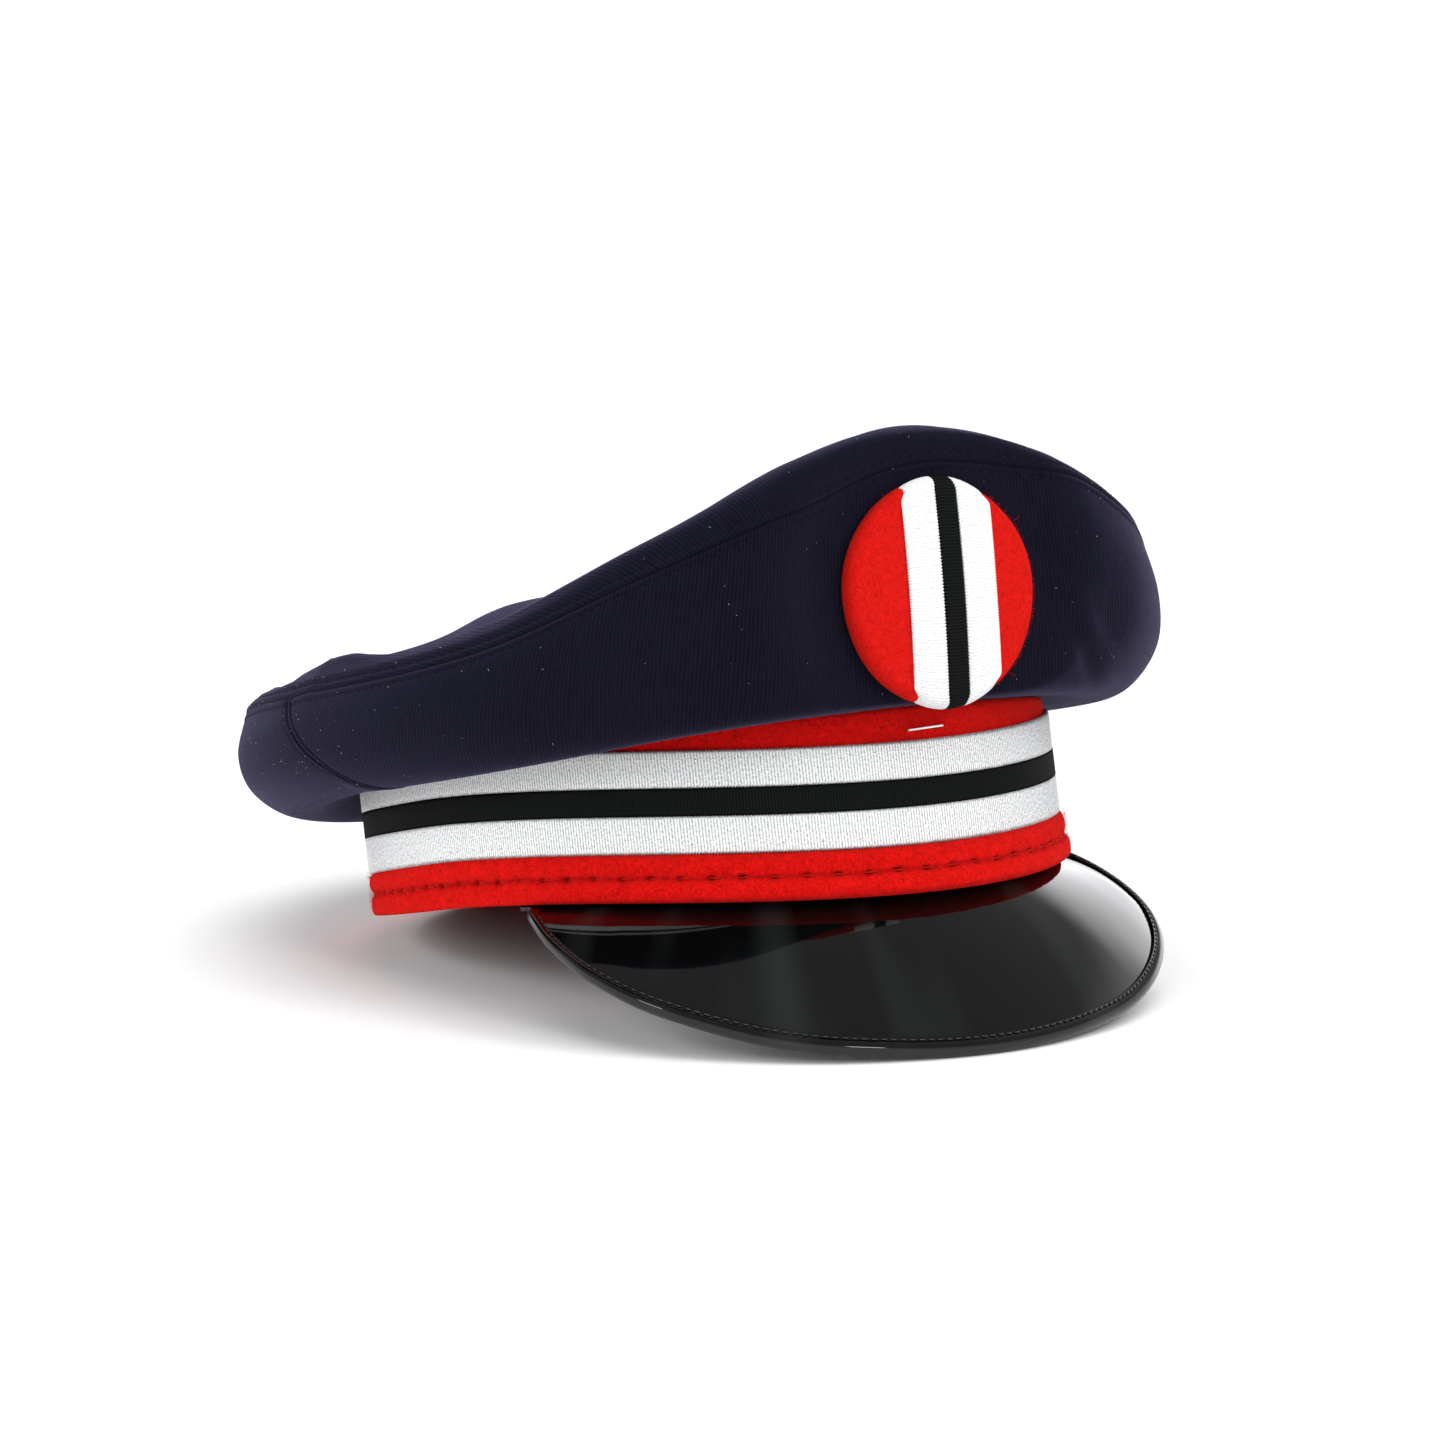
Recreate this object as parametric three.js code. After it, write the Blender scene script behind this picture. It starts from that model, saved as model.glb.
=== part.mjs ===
// A peaked cap of the station-master kind, at rest on a table: it stands on the lower edge of its visor
// and on the back of its band, so the whole cap leans back. Millimetres, +Z up, the front towards -Y and
// the wearer's right towards -X. The origin is the middle of the bottom of the cap's bounding box.
import * as THREE from 'three';
import { mergeVertices } from 'three/addons/utils/BufferGeometryUtils.js';

// Band: an oval wall of felt whose lower edge dips at the front and rises a little at the back.
const HEAD_ROUND = 600;          // length round the outside of the band
const BAND_ASPECT = 1.17;        // length of the oval over its width
const BAND_WALL = 2.4;           // thickness of the felt
const BAND_SIDE_HEIGHT = 40;     // height of the felt at the side
const BAND_FRONT_LOWERING = 2.6; // how far the felt's top edge lies lower at the front
const BAND_FRONT_DIP = 10;       // how far the lower edge dips at the front
const BAND_BACK_RISE = 2.4;      // how far the lower edge rises at the back
const ROLL_HEIGHT = 12.5;        // height of the stitched roll along the lower edge, but for that rise
const ROLL_PUFF = 1.5;           // how far the roll stands out from the wall
const ROLL_GROOVE = 1.2;         // depth of the stitched groove along the middle of the roll
const ROLL_FRONT_FLARE = 3.2;    // how far the visor pushes the lower edge out at the front

// Ribbon: three woven stripes, one over the other.
const RIBBON_THICKNESS = 1.0;
const RIBBON_WHITE_WIDTH = 9.5;
const RIBBON_BLACK_WIDTH = 7.1;

// Crown: soft cloth, wider than the band all round, high in front and drooping at the back.
const CROWN_WALL = 1.6;
const CROWN_OVERHANG = 34;       // how far the rim's seam may lie outside the band
const CROWN_FRONT_RISE = 59.2;    // height of the rim's seam above the felt's top edge, at the front
const CROWN_DROOP = 15;          // how far the roll at the back hangs below the felt's top edge
const CROWN_ROLL = 11.6;         // height of the crest above the rim's seam, at the front
const CROWN_COLLAR = 6;          // how far the cloth reaches down inside the band
const CROWN_DISH = 15;           // how far the middle of the top sags below a line from front to back
const CROWN_FOLD = 5;            // depth of the deepest soft dent in the crown
const CROWN_PUFF = 6;            // how far the side panels swell out past their seams
const CROWN_SWAY = 0.3;          // share by which the droop is more on the right and less on the left
const BACK_SEAM_TURN = 97;       // degrees from the front to the back panel's seam, at the rim
const BACK_SEAM_SLANT = 17;      // degrees that this seam runs forward on its way down to the band

// Visor and its folded edging.
const VISOR_THICKNESS = 1.6;
const VISOR_REACH = 23;          // how far the free edge lies out from the band, seen from above
const VISOR_DROP = 41.6;          // how far the free edge lies below the band's lower edge, at the front
const VISOR_HALF_TURN = 71;      // degrees from the front to each end
const VISOR_ROOT = 7;            // how far the visor reaches up inside the band
const VISOR_ARCH = 2.6;          // how far the visor's surface swells between root and edge
const VISOR_STUB = 0.6;          // length of the visor below the band at its ends
const BINDING_WIDTH = 4.8;       // width of the edging over the visor
const BINDING_THICKNESS = 4.4;
const BINDING_HALF_TURN = 66;    // degrees from the front to each end of the edging
const BINDING_BITE = 2.4;        // how far the visor's own edge lies inside the edging's outer edge
const BINDING_PLAY = 0.4;        // clear space in the edging's slot on each side of the visor

// Badge: a padded disc covered in felt, with a narrower copy of the ribbon wrapped over it.
const BADGE_RADIUS = 28.6;
const BADGE_THICKNESS = 5.2;
const BADGE_DOME = 0.9;          // how far the middle of its face stands above the face's rim
const BADGE_EDGE = 2.6;          // radius of the rounded rim
const BADGE_RIBBON_THICKNESS = 0.9;
const BADGE_WHITE_WIDTH = 10.2;
const BADGE_BLACK_WIDTH = 6.5;
const BADGE_RIBBON_OFFSET = 1.8; // how far the ribbon lies off the disc's middle, to the wearer's left
const BADGE_WRAP = 0.6;          // how far the ribbon's ends stay above the disc's back
const BADGE_HEIGHT = 64.8;       // height of its middle above the band's lower edge at the side
const BADGE_FORWARD = 14;        // how far the middle of its back lies in front of the band
const BADGE_LEAN = 4.6;          // degrees that its face leans forward from the band's wall
const BADGE_PRESS_CLEAR = 6;     // how far past its rim the crown is pressed flat
const BADGE_PRESS_FADE = 30;     // how far past its rim the dent reaches

// Staple: a flat bright wire bar that lies on the felt above the ribbon.
const STAPLE_LENGTH = 11.5;
const STAPLE_WIDTH = 0.9;
const STAPLE_DEPTH = 0.6;
const STAPLE_TURN = 0.9;         // degrees from the front to its middle
const STAPLE_SLOPE = 4;          // degrees that it rises towards the wearer's left
const STAPLE_ABOVE_RIBBON = 2.7;

const COLLAR_BEND = 0.8;         // how far the cloth rises over the felt's top edge
const SEAM_GAP = 0.3;            // clear space between neighbouring pieces
const ROUND_STEPS = 72;          // facets round the whole cap
const VISOR_STEPS = 36;          // facets along the visor
const BADGE_STEPS = 32;          // facets round the badge

// The rim from front (turn 0) to back (turn 1). Overhang is a share of CROWN_OVERHANG, rise a share of
// CROWN_FRONT_RISE, droop a share of CROWN_DROOP, crest a share of CROWN_ROLL, inset, how far the crest
// lies inside the seam, a share of CROWN_OVERHANG, and puff a share of CROWN_PUFF.
const RIM = [
  { turn: 0.00, overhang: 0.60, rise: 1.00, droop: 0.14, crest: 0.86, inset: 0.42, puff: 0.00 },
  { turn: 0.11, overhang: 0.80, rise: 0.90, droop: 0.20, crest: 0.74, inset: 0.42, puff: 0.20 },
  { turn: 0.20, overhang: 0.92, rise: 0.72, droop: 0.28, crest: 0.46, inset: 0.40, puff: 0.50 },
  { turn: 0.33, overhang: 0.87, rise: 0.46, droop: 0.40, crest: 0.22, inset: 0.38, puff: 0.80 },
  { turn: 0.50, overhang: 0.80, rise: 0.37, droop: 0.46, crest: 0.26, inset: 0.36, puff: 0.70 },
  { turn: 0.69, overhang: 0.84, rise: 0.28, droop: 0.58, crest: 0.50, inset: 0.36, puff: 0.86 },
  { turn: 0.85, overhang: 0.90, rise: 0.20, droop: 0.74, crest: 0.50, inset: 0.38, puff: 0.80 },
  { turn: 1.00, overhang: 0.94, rise: 0.16, droop: 0.84, crest: 0.38, inset: 0.40, puff: 0.80 },
];

// The side panels from the band (level 0) to the rim's seam (level 1). The out columns are shares of the
// local overhang, the up columns shares of the local rise, hang a share of the local droop and swell a
// share of the local puff.
const PANEL = [
  { level: 0.00, front_out: 0.00, front_up: 0.00, back_out: 0.00, back_up: 0.00, hang: 0.00, swell: 0.00 },
  { level: 0.08, front_out: 0.18, front_up: 0.01, back_out: 0.13, back_up: 0.03, hang: 0.04, swell: 0.00 },
  { level: 0.16, front_out: 0.42, front_up: 0.00, back_out: 0.22, back_up: 0.00, hang: 0.55, swell: 0.05 },
  { level: 0.28, front_out: 0.68, front_up: 0.06, back_out: 0.44, back_up: 0.00, hang: 0.98, swell: 0.25 },
  { level: 0.44, front_out: 0.86, front_up: 0.24, back_out: 0.70, back_up: 0.00, hang: 0.92, swell: 0.55 },
  { level: 0.62, front_out: 0.96, front_up: 0.48, back_out: 0.91, back_up: 0.14, hang: 0.50, swell: 0.95 },
  { level: 0.80, front_out: 1.00, front_up: 0.75, back_out: 1.02, back_up: 0.52, hang: 0.18, swell: 0.75 },
  { level: 1.00, front_out: 1.00, front_up: 1.00, back_out: 1.00, back_up: 1.00, hang: 0.00, swell: 0.00 },
];

// The top panel from the seam (level 0) to its middle (level 1). Inset is a share of the way from the
// seam to the crest, up a share of the crest's height, reach the share left of the crest's distance from
// the middle, and sag a share of CROWN_DISH.
const TOP = [
  { level: 0.00, inset: 0.00, up: 0.00, reach: 1.00, sag: 0.00 },
  { level: 0.12, inset: 0.10, up: 0.48, reach: 1.00, sag: 0.00 },
  { level: 0.26, inset: 0.46, up: 0.90, reach: 1.00, sag: 0.00 },
  { level: 0.40, inset: 1.00, up: 1.00, reach: 1.00, sag: 0.00 },
  { level: 0.55, inset: 1.00, up: 1.00, reach: 0.80, sag: 0.32 },
  { level: 0.70, inset: 1.00, up: 1.00, reach: 0.58, sag: 0.72 },
  { level: 0.85, inset: 1.00, up: 1.00, reach: 0.30, sag: 0.95 },
  { level: 1.00, inset: 1.00, up: 1.00, reach: 0.00, sag: 1.00 },
];

// Soft dents in the crown, each centred at a turn (degrees, positive on the wearer's left) and a level
// (0 to 1 up the side panels, 1 to 2 over the top), with its half widths. Depth is a share of CROWN_FOLD.
const FOLDS = [
  { turn: 26, level: 0.50, wide: 5, tall: 0.22, depth: 0.45 },
  { turn: 31, level: 0.22, wide: 5, tall: 0.12, depth: 0.50 },
  { turn: -112, level: 1.44, wide: 12, tall: 0.10, depth: 0.70 },
  { turn: -138, level: 1.36, wide: 10, tall: 0.10, depth: 0.45 },
  { turn: -160, level: 1.26, wide: 8, tall: 0.10, depth: -0.30 },
  { turn: 118, level: 1.46, wide: 16, tall: 0.12, depth: 0.60 },
  { turn: 150, level: 1.42, wide: 12, tall: 0.10, depth: 0.40 },
  { turn: 0, level: 1.56, wide: 30, tall: 0.12, depth: 0.80 },
];

// The visor's free edge from the front (turn 0) to its end (turn 1), as shares of the half turn, of
// VISOR_REACH and of VISOR_DROP.
const VISOR_EDGE = [
  { turn: 0.00, reach: 0.96, drop: 1.00 },
  { turn: 0.20, reach: 0.97, drop: 0.97 },
  { turn: 0.42, reach: 1.02, drop: 0.87 },
  { turn: 0.62, reach: 1.05, drop: 0.65 },
  { turn: 0.74, reach: 0.95, drop: 0.45 },
  { turn: 0.84, reach: 0.70, drop: 0.25 },
  { turn: 0.93, reach: 0.34, drop: 0.07 },
  { turn: 1.00, reach: 0.02, drop: 0.00 },
];

const DEGREE = Math.PI / 180;
const FULL_TURN = 360;
const FIRST_LEVEL = PANEL[1].level;

// Smooth curve through one column of a table, level at both ends.
function follow(table, place, column, value) {
  const last = table.length - 1;
  let k = 0;
  while (k < last - 1 && value > table[k + 1][place]) k += 1;
  const slope = (i) => {
    if (i <= 0 || i >= last) return 0;
    return (table[i + 1][column] - table[i - 1][column]) / (table[i + 1][place] - table[i - 1][place]);
  };
  const span = table[k + 1][place] - table[k][place];
  const t = Math.min(1, Math.max(0, (value - table[k][place]) / span));
  const t2 = t * t;
  const t3 = t2 * t;
  return (2 * t3 - 3 * t2 + 1) * table[k][column] + (t3 - 2 * t2 + t) * span * slope(k)
    + (3 * t2 - 2 * t3) * table[k + 1][column] + (t3 - t2) * span * slope(k + 1);
}

// Half width and half length of the band's oval, from the length round it.
function ovalOf(round, aspect) {
  const h = ((1 - aspect) / (1 + aspect)) ** 2;
  const perimeter = Math.PI * (1 + aspect) * (1 + (3 * h) / (10 + Math.sqrt(4 - 3 * h)));
  return { width: round / perimeter, length: (round / perimeter) * aspect };
}
const OVAL = ovalOf(HEAD_ROUND, BAND_ASPECT);
const RIBBON_WIDTH = 2 * RIBBON_WHITE_WIDTH + RIBBON_BLACK_WIDTH;

// Point of the band's oval moved out along the oval's normal. Turn is in degrees from the front,
// positive towards the wearer's left (+X).
function place(turn, out, height) {
  const angle = turn * DEGREE;
  const normal = new THREE.Vector2(Math.sin(angle) / OVAL.width, -Math.cos(angle) / OVAL.length).normalize();
  return new THREE.Vector3(
    OVAL.width * Math.sin(angle) + normal.x * out,
    -OVAL.length * Math.cos(angle) + normal.y * out,
    height,
  );
}

function bandBottom(turn) {
  const front = Math.cos(turn * DEGREE);
  return front > 0 ? -BAND_FRONT_DIP * front ** 1.92 : BAND_BACK_RISE * (-front) ** 1.3;
}

// Top of the roll, where the ribbon starts.
function rollTop(turn) {
  return Math.min(0, bandBottom(turn)) + ROLL_HEIGHT;
}

function bandTop(turn) {
  const front = Math.max(0, Math.cos(turn * DEGREE));
  return BAND_SIDE_HEIGHT - BAND_FRONT_LOWERING * front ** 0.5;
}

function frontFlare(turn) {
  const share = Math.max(0, 1 - Math.abs(turn) / VISOR_HALF_TURN);
  return ROLL_FRONT_FLARE * share ** 0.6;
}

// Closed mesh between two grids of points, each an array of rows. A grid may close on itself along the
// row (ring) and may end in one middle point (cap).
function closedSheet(outer, inner, ring, cap) {
  const rows = outer.length;
  const count = outer[0].length;
  const points = [];
  const faces = [];
  const at = (side, r, c) => side * rows * count + r * count + (ring ? c % count : c);
  for (const grid of [outer, inner]) for (const row of grid) for (const p of row) points.push(p.x, p.y, p.z);
  const quad = (a, b, c, d) => faces.push(a, b, c, a, c, d);
  const steps = ring ? count : count - 1;
  for (let r = 0; r < rows - 1; r += 1) {
    for (let c = 0; c < steps; c += 1) {
      quad(at(0, r, c), at(0, r, c + 1), at(0, r + 1, c + 1), at(0, r + 1, c));
      quad(at(1, r, c), at(1, r + 1, c), at(1, r + 1, c + 1), at(1, r, c + 1));
    }
  }
  for (let c = 0; c < steps; c += 1) {
    quad(at(0, 0, c), at(1, 0, c), at(1, 0, c + 1), at(0, 0, c + 1));
    if (!cap) {
      const r = rows - 1;
      quad(at(0, r, c), at(0, r, c + 1), at(1, r, c + 1), at(1, r, c));
    }
  }
  if (!ring) {
    for (let r = 0; r < rows - 1; r += 1) {
      quad(at(0, r, 0), at(0, r + 1, 0), at(1, r + 1, 0), at(1, r, 0));
      const c = count - 1;
      quad(at(0, r, c), at(1, r, c), at(1, r + 1, c), at(0, r + 1, c));
    }
  }
  if (cap) {
    const middle = points.length / 3;
    points.push(cap.outer.x, cap.outer.y, cap.outer.z, cap.inner.x, cap.inner.y, cap.inner.z);
    for (let c = 0; c < steps; c += 1) {
      faces.push(at(0, rows - 1, c), at(0, rows - 1, c + 1), middle);
      faces.push(at(1, rows - 1, c + 1), at(1, rows - 1, c), middle + 1);
    }
  }
  return solidOf(points, faces);
}

// Closed mesh of one section swept through frames: each frame is an array of the section's points.
function sweptBar(frames, ring) {
  const count = frames[0].length;
  const points = [];
  const faces = [];
  for (const frame of frames) for (const p of frame) points.push(p.x, p.y, p.z);
  const at = (f, k) => (ring ? f % frames.length : f) * count + (k % count);
  const steps = ring ? frames.length : frames.length - 1;
  for (let f = 0; f < steps; f += 1) {
    for (let k = 0; k < count; k += 1) {
      faces.push(at(f, k), at(f + 1, k), at(f + 1, k + 1), at(f, k), at(f + 1, k + 1), at(f, k + 1));
    }
  }
  if (!ring) {
    for (const end of [0, frames.length - 1]) {
      const middle = points.length / 3;
      const centre = new THREE.Vector3();
      for (const p of frames[end]) centre.addScaledVector(p, 1 / count);
      points.push(centre.x, centre.y, centre.z);
      for (let k = 0; k < count; k += 1) {
        if (end === 0) faces.push(at(end, k), at(end, k + 1), middle);
        else faces.push(at(end, k + 1), at(end, k), middle);
      }
    }
  }
  return solidOf(points, faces);
}

// Geometry of a closed mesh with shared corners and without collapsed faces, turned to face out.
function solidOf(points, faces) {
  const loose = new THREE.BufferGeometry();
  loose.setAttribute('position', new THREE.Float32BufferAttribute(points, 3));
  loose.setIndex(faces);
  const geometry = mergeVertices(loose, 1e-4);
  const position = geometry.getAttribute('position');
  const merged = geometry.index.array;
  const index = [];
  for (let i = 0; i < merged.length; i += 3) {
    const [a, b, c] = merged.slice(i, i + 3);
    if (a !== b && b !== c && c !== a) index.push(a, b, c);
  }
  let volume = 0;
  const corner = (i) => new THREE.Vector3().fromBufferAttribute(position, i);
  for (let i = 0; i < index.length; i += 3) {
    volume += corner(index[i]).dot(corner(index[i + 1]).cross(corner(index[i + 2])));
  }
  if (volume < 0) {
    for (let i = 0; i < index.length; i += 3) [index[i], index[i + 1]] = [index[i + 1], index[i]];
  }
  geometry.setIndex(index);
  return geometry;
}

// Evenly spaced numbers, both ends included.
function steps(from, to, count) {
  return Array.from({ length: count + 1 }, (_, i) => from + ((to - from) * i) / count);
}

const RING_TURNS = Array.from({ length: ROUND_STEPS }, (_, i) => (360 * i) / ROUND_STEPS - 180);

// Felt band: the section is drawn from the inside top over the top edge and down round the roll.
function bandGeometry() {
  const frames = RING_TURNS.map((turn) => {
    const low = bandBottom(turn);
    const roll = rollTop(turn) - low;
    const high = bandTop(turn);
    const puff = ROLL_PUFF + frontFlare(turn) * 0.5;
    const edge = ROLL_PUFF + frontFlare(turn);
    const section = [
      [-BAND_WALL, high - 0.4], [-BAND_WALL + 0.5, high], [-0.5, high], [0, high - 0.5],
      [0, low + roll + 0.2], [puff * 0.75, low + roll * 0.89], [puff, low + roll * 0.74],
      [puff - ROLL_GROOVE, low + roll * 0.5],
      [edge, low + roll * 0.26], [edge * 0.92, low + roll * 0.1], [edge * 0.45, low],
      [-BAND_WALL * 0.5, low + 0.2], [-BAND_WALL, low + 1.4],
    ];
    return section.map(([out, height]) => place(turn, out, height));
  });
  return sweptBar(frames, true);
}

// One woven stripe, lying on the band from a height above the roll's top.
function stripeGeometry(bottom, width) {
  const inside = SEAM_GAP;
  const outside = SEAM_GAP + RIBBON_THICKNESS;
  const frames = RING_TURNS.map((turn) => {
    const low = rollTop(turn) + bottom;
    return [[inside, low], [inside, low + width], [outside, low + width], [outside, low]]
      .map(([out, height]) => place(turn, out, height));
  });
  return sweptBar(frames, true);
}

// Badge frame in the cap: the middle of its back, its upright and the direction that it faces.
const BADGE_BACK = place(0, BADGE_FORWARD, BADGE_HEIGHT);
const BADGE_UP = new THREE.Vector3(0, -Math.sin(BADGE_LEAN * DEGREE), Math.cos(BADGE_LEAN * DEGREE));
const BADGE_FACING = new THREE.Vector3(0, -Math.cos(BADGE_LEAN * DEGREE), -Math.sin(BADGE_LEAN * DEGREE));

// The badge presses the soft crown flat behind it, and the dent fades out round its rim.
function pressed(point) {
  const offset = point.clone().sub(BADGE_BACK);
  const ahead = offset.dot(BADGE_FACING) + SEAM_GAP;
  if (ahead <= 0) return point;
  const away = offset.addScaledVector(BADGE_FACING, -offset.dot(BADGE_FACING)).length() - BADGE_RADIUS;
  const fade = 1 - THREE.MathUtils.smoothstep(away, BADGE_PRESS_CLEAR, BADGE_PRESS_FADE);
  return point.addScaledVector(BADGE_FACING, -ahead * fade);
}

// How far the soft dents push the crown in at a place.
function foldDepth(turn, level) {
  const around = ((turn + 540) % 360) - 180;
  return FOLDS.reduce((sum, fold) => sum + CROWN_FOLD * fold.depth
    * Math.exp(-(((around - fold.turn) / fold.wide) ** 2) - ((level - fold.level) / fold.tall) ** 2), 0);
}

// Outer surface of the crown. Level runs from -1 (the collar's lower end inside the band) over 0 (the
// felt's top edge) and 1 (the rim's seam) to 2 (the middle of the top).
function crownPoint(turn, level) {
  const share = Math.abs(((turn + 540) % 360) - 180) / 180;
  const local = (column) => follow(RIM, 'turn', column, share);
  const overhang = CROWN_OVERHANG * local('overhang');
  const rise = CROWN_FRONT_RISE * local('rise');
  const droop = CROWN_DROOP * local('droop') * (1 - CROWN_SWAY * Math.sin(turn * DEGREE));
  const top = bandTop(turn) + SEAM_GAP;
  const collar = -(BAND_WALL + SEAM_GAP);
  if (level <= 0) return place(turn, collar, top + level * CROWN_COLLAR);
  if (level <= 1) {
    const panel = (column) => follow(PANEL, 'level', column, level);
    const back = THREE.MathUtils.smoothstep(share, 0, 1);
    const out = THREE.MathUtils.lerp(panel('front_out'), panel('back_out'), back);
    const up = THREE.MathUtils.lerp(panel('front_up'), panel('back_up'), back);
    return pressed(place(
      turn,
      collar + (overhang - collar) * out + CROWN_PUFF * local('puff') * panel('swell')
        - foldDepth(turn, level) * panel('swell'),
      top + COLLAR_BEND * Math.min(1, level / FIRST_LEVEL) + rise * up - droop * panel('hang'),
    ));
  }
  const over = level - 1;
  const inset = CROWN_OVERHANG * local('inset') * follow(TOP, 'level', 'inset', over);
  const edge = place(turn, overhang - inset, 0);
  const reach = follow(TOP, 'level', 'reach', over);
  const slope = TOP_SLOPE * Math.cos(turn * DEGREE);
  const up = follow(TOP, 'level', 'up', over);
  const crest = top + COLLAR_BEND + rise + CROWN_ROLL * local('crest') * up;
  const sag = CROWN_DISH * follow(TOP, 'level', 'sag', over) + foldDepth(turn, level) * up;
  return pressed(new THREE.Vector3(
    edge.x * reach,
    edge.y * reach,
    TOP_MIDDLE + slope * reach + (crest - TOP_MIDDLE - slope) * reach ** 3 - sag,
  ));
}

// The top's crest at the front and back sets a straight line through the middle, before the cloth sags.
function crestHeight(row, turn) {
  return bandTop(turn) + SEAM_GAP + COLLAR_BEND + CROWN_FRONT_RISE * row.rise + CROWN_ROLL * row.crest;
}
const TOP_MIDDLE = (crestHeight(RIM[0], 0) + crestHeight(RIM[RIM.length - 1], 180)) / 2;
const TOP_SLOPE = (crestHeight(RIM[0], 0) - crestHeight(RIM[RIM.length - 1], 180)) / 2;

// Part of the crown, CROWN_WALL thick: its rows follow the levels and turnsAt gives each row's turns. It
// is drawn in by half a gap along the rim's seam.
function crownSheet(turnsAt, levels, ring, hasMiddle) {
  const small = 1e-3;
  const wide = 0.06;
  const outer = [];
  const inner = [];
  for (const level of levels) {
    const outerRow = [];
    const innerRow = [];
    for (const turn of turnsAt(level)) {
      const alongTurn = crownPoint(turn + wide, level).sub(crownPoint(turn - wide, level));
      const low = Math.max(-1, level - small);
      const high = Math.min(2 - small, level + small);
      const alongLevel = crownPoint(turn, high).sub(crownPoint(turn, low)).normalize();
      const normal = alongTurn.cross(alongLevel).normalize();
      const point = crownPoint(turn, level).addScaledVector(alongLevel, seamShift(level, levels));
      outerRow.push(point);
      innerRow.push(point.clone().addScaledVector(normal, -CROWN_WALL));
    }
    outer.push(outerRow);
    inner.push(innerRow);
  }
  if (!hasMiddle) return closedSheet(outer, inner, ring, null);
  const middle = crownPoint(0, 2);
  const under = middle.clone().setZ(middle.z - CROWN_WALL);
  return closedSheet(outer, inner, ring, { outer: middle, inner: under });
}

// How far a row is moved along the surface so that the panels keep SEAM_GAP at the rim's seam.
function seamShift(level, levels) {
  if (level !== 1) return 0;
  return levels[0] === 1 ? SEAM_GAP / 2 : -SEAM_GAP / 2;
}

// Degrees from the front to the back panel's seam, at a level of the side panels.
function backSeam(level) {
  return BACK_SEAM_TURN - BACK_SEAM_SLANT * (1 - THREE.MathUtils.smoothstep(level, 0, 1));
}

const PANEL_LEVELS = [-1, 0, 0.05, 0.14, 0.26, 0.4, 0.55, 0.7, 0.85, 1];
const SEAM_HALF_TURN = SEAM_GAP / 2 / (OVAL.width - BAND_WALL - SEAM_GAP - CROWN_WALL) / DEGREE;
const FRONT_STEPS = Math.round((ROUND_STEPS * BACK_SEAM_TURN) / 180);
const BACK_STEPS = ROUND_STEPS - FRONT_STEPS;

// The top's facets meet those of the side panels along the rim's seam.
function crownTopGeometry() {
  const turns = [
    ...steps(-BACK_SEAM_TURN, BACK_SEAM_TURN, FRONT_STEPS).slice(0, -1),
    ...steps(BACK_SEAM_TURN, FULL_TURN - BACK_SEAM_TURN, BACK_STEPS).slice(0, -1),
  ];
  return crownSheet(() => turns, [1, 1.08, 1.18, 1.3, 1.42, 1.58, 1.76, 1.9], true, true);
}

function crownFrontSideGeometry() {
  const turnsAt = (level) => {
    const end = backSeam(level) - SEAM_HALF_TURN;
    return steps(-end, end, FRONT_STEPS);
  };
  return crownSheet(turnsAt, PANEL_LEVELS, false, false);
}

function crownBackGeometry() {
  const turnsAt = (level) => {
    const start = backSeam(level) + SEAM_HALF_TURN;
    return steps(start, FULL_TURN - start, BACK_STEPS);
  };
  return crownSheet(turnsAt, PANEL_LEVELS, false, false);
}

// Visor: upper surface from the root inside the band (level -1) over the band's lower edge (level 0) to
// the free edge (level 1).
function visorPoint(turn, level) {
  const share = Math.abs(turn) / VISOR_HALF_TURN;
  const low = bandBottom(turn);
  const root = -(BAND_WALL + SEAM_GAP);
  if (level <= 0) return place(turn, root, low - level * VISOR_ROOT);
  const reach = root + (VISOR_REACH - root) * follow(VISOR_EDGE, 'turn', 'reach', share);
  const drop = VISOR_DROP * follow(VISOR_EDGE, 'turn', 'drop', share);
  const swell = VISOR_ARCH * 4 * level * (1 - level) * Math.min(1, drop / (VISOR_DROP / 2));
  const out = root + (reach - root) * level + swell;
  return place(turn, out, low - drop * level + swell * 0.5);
}

function visorNormal(turn, level) {
  const small = 0.01;
  const alongTurn = visorPoint(turn + 0.5, level).sub(visorPoint(turn - 0.5, level));
  const alongLevel = visorPoint(turn, Math.min(1, level + small)).sub(visorPoint(turn, level - small));
  return alongLevel.cross(alongTurn).normalize();
}

const BINDING_TURNS = steps(-BINDING_HALF_TURN, BINDING_HALF_TURN, VISOR_STEPS);

// Level at which the visor's own sheet ends, BINDING_BITE inside the free edge.
function visorSheetEnd(turn) {
  const length = visorPoint(turn, 1).distanceTo(visorPoint(turn, 0));
  return Math.max(VISOR_STUB / length, 1 - BINDING_BITE / length);
}

function visorGeometry() {
  const shares = [0.25, 0.5, 0.75, 1];
  const turns = [-VISOR_HALF_TURN, ...BINDING_TURNS, VISOR_HALF_TURN];
  const levelsAt = (turn) => [-1, 0, ...shares.map((share) => share * visorSheetEnd(turn))];
  const grid = (depth) => levelsAt(0).map((_, row) => turns.map((turn) => {
    const level = levelsAt(turn)[row];
    return visorPoint(turn, level).addScaledVector(visorNormal(turn, level), -depth);
  }));
  return closedSheet(grid(0), grid(VISOR_THICKNESS), false, null);
}

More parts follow.
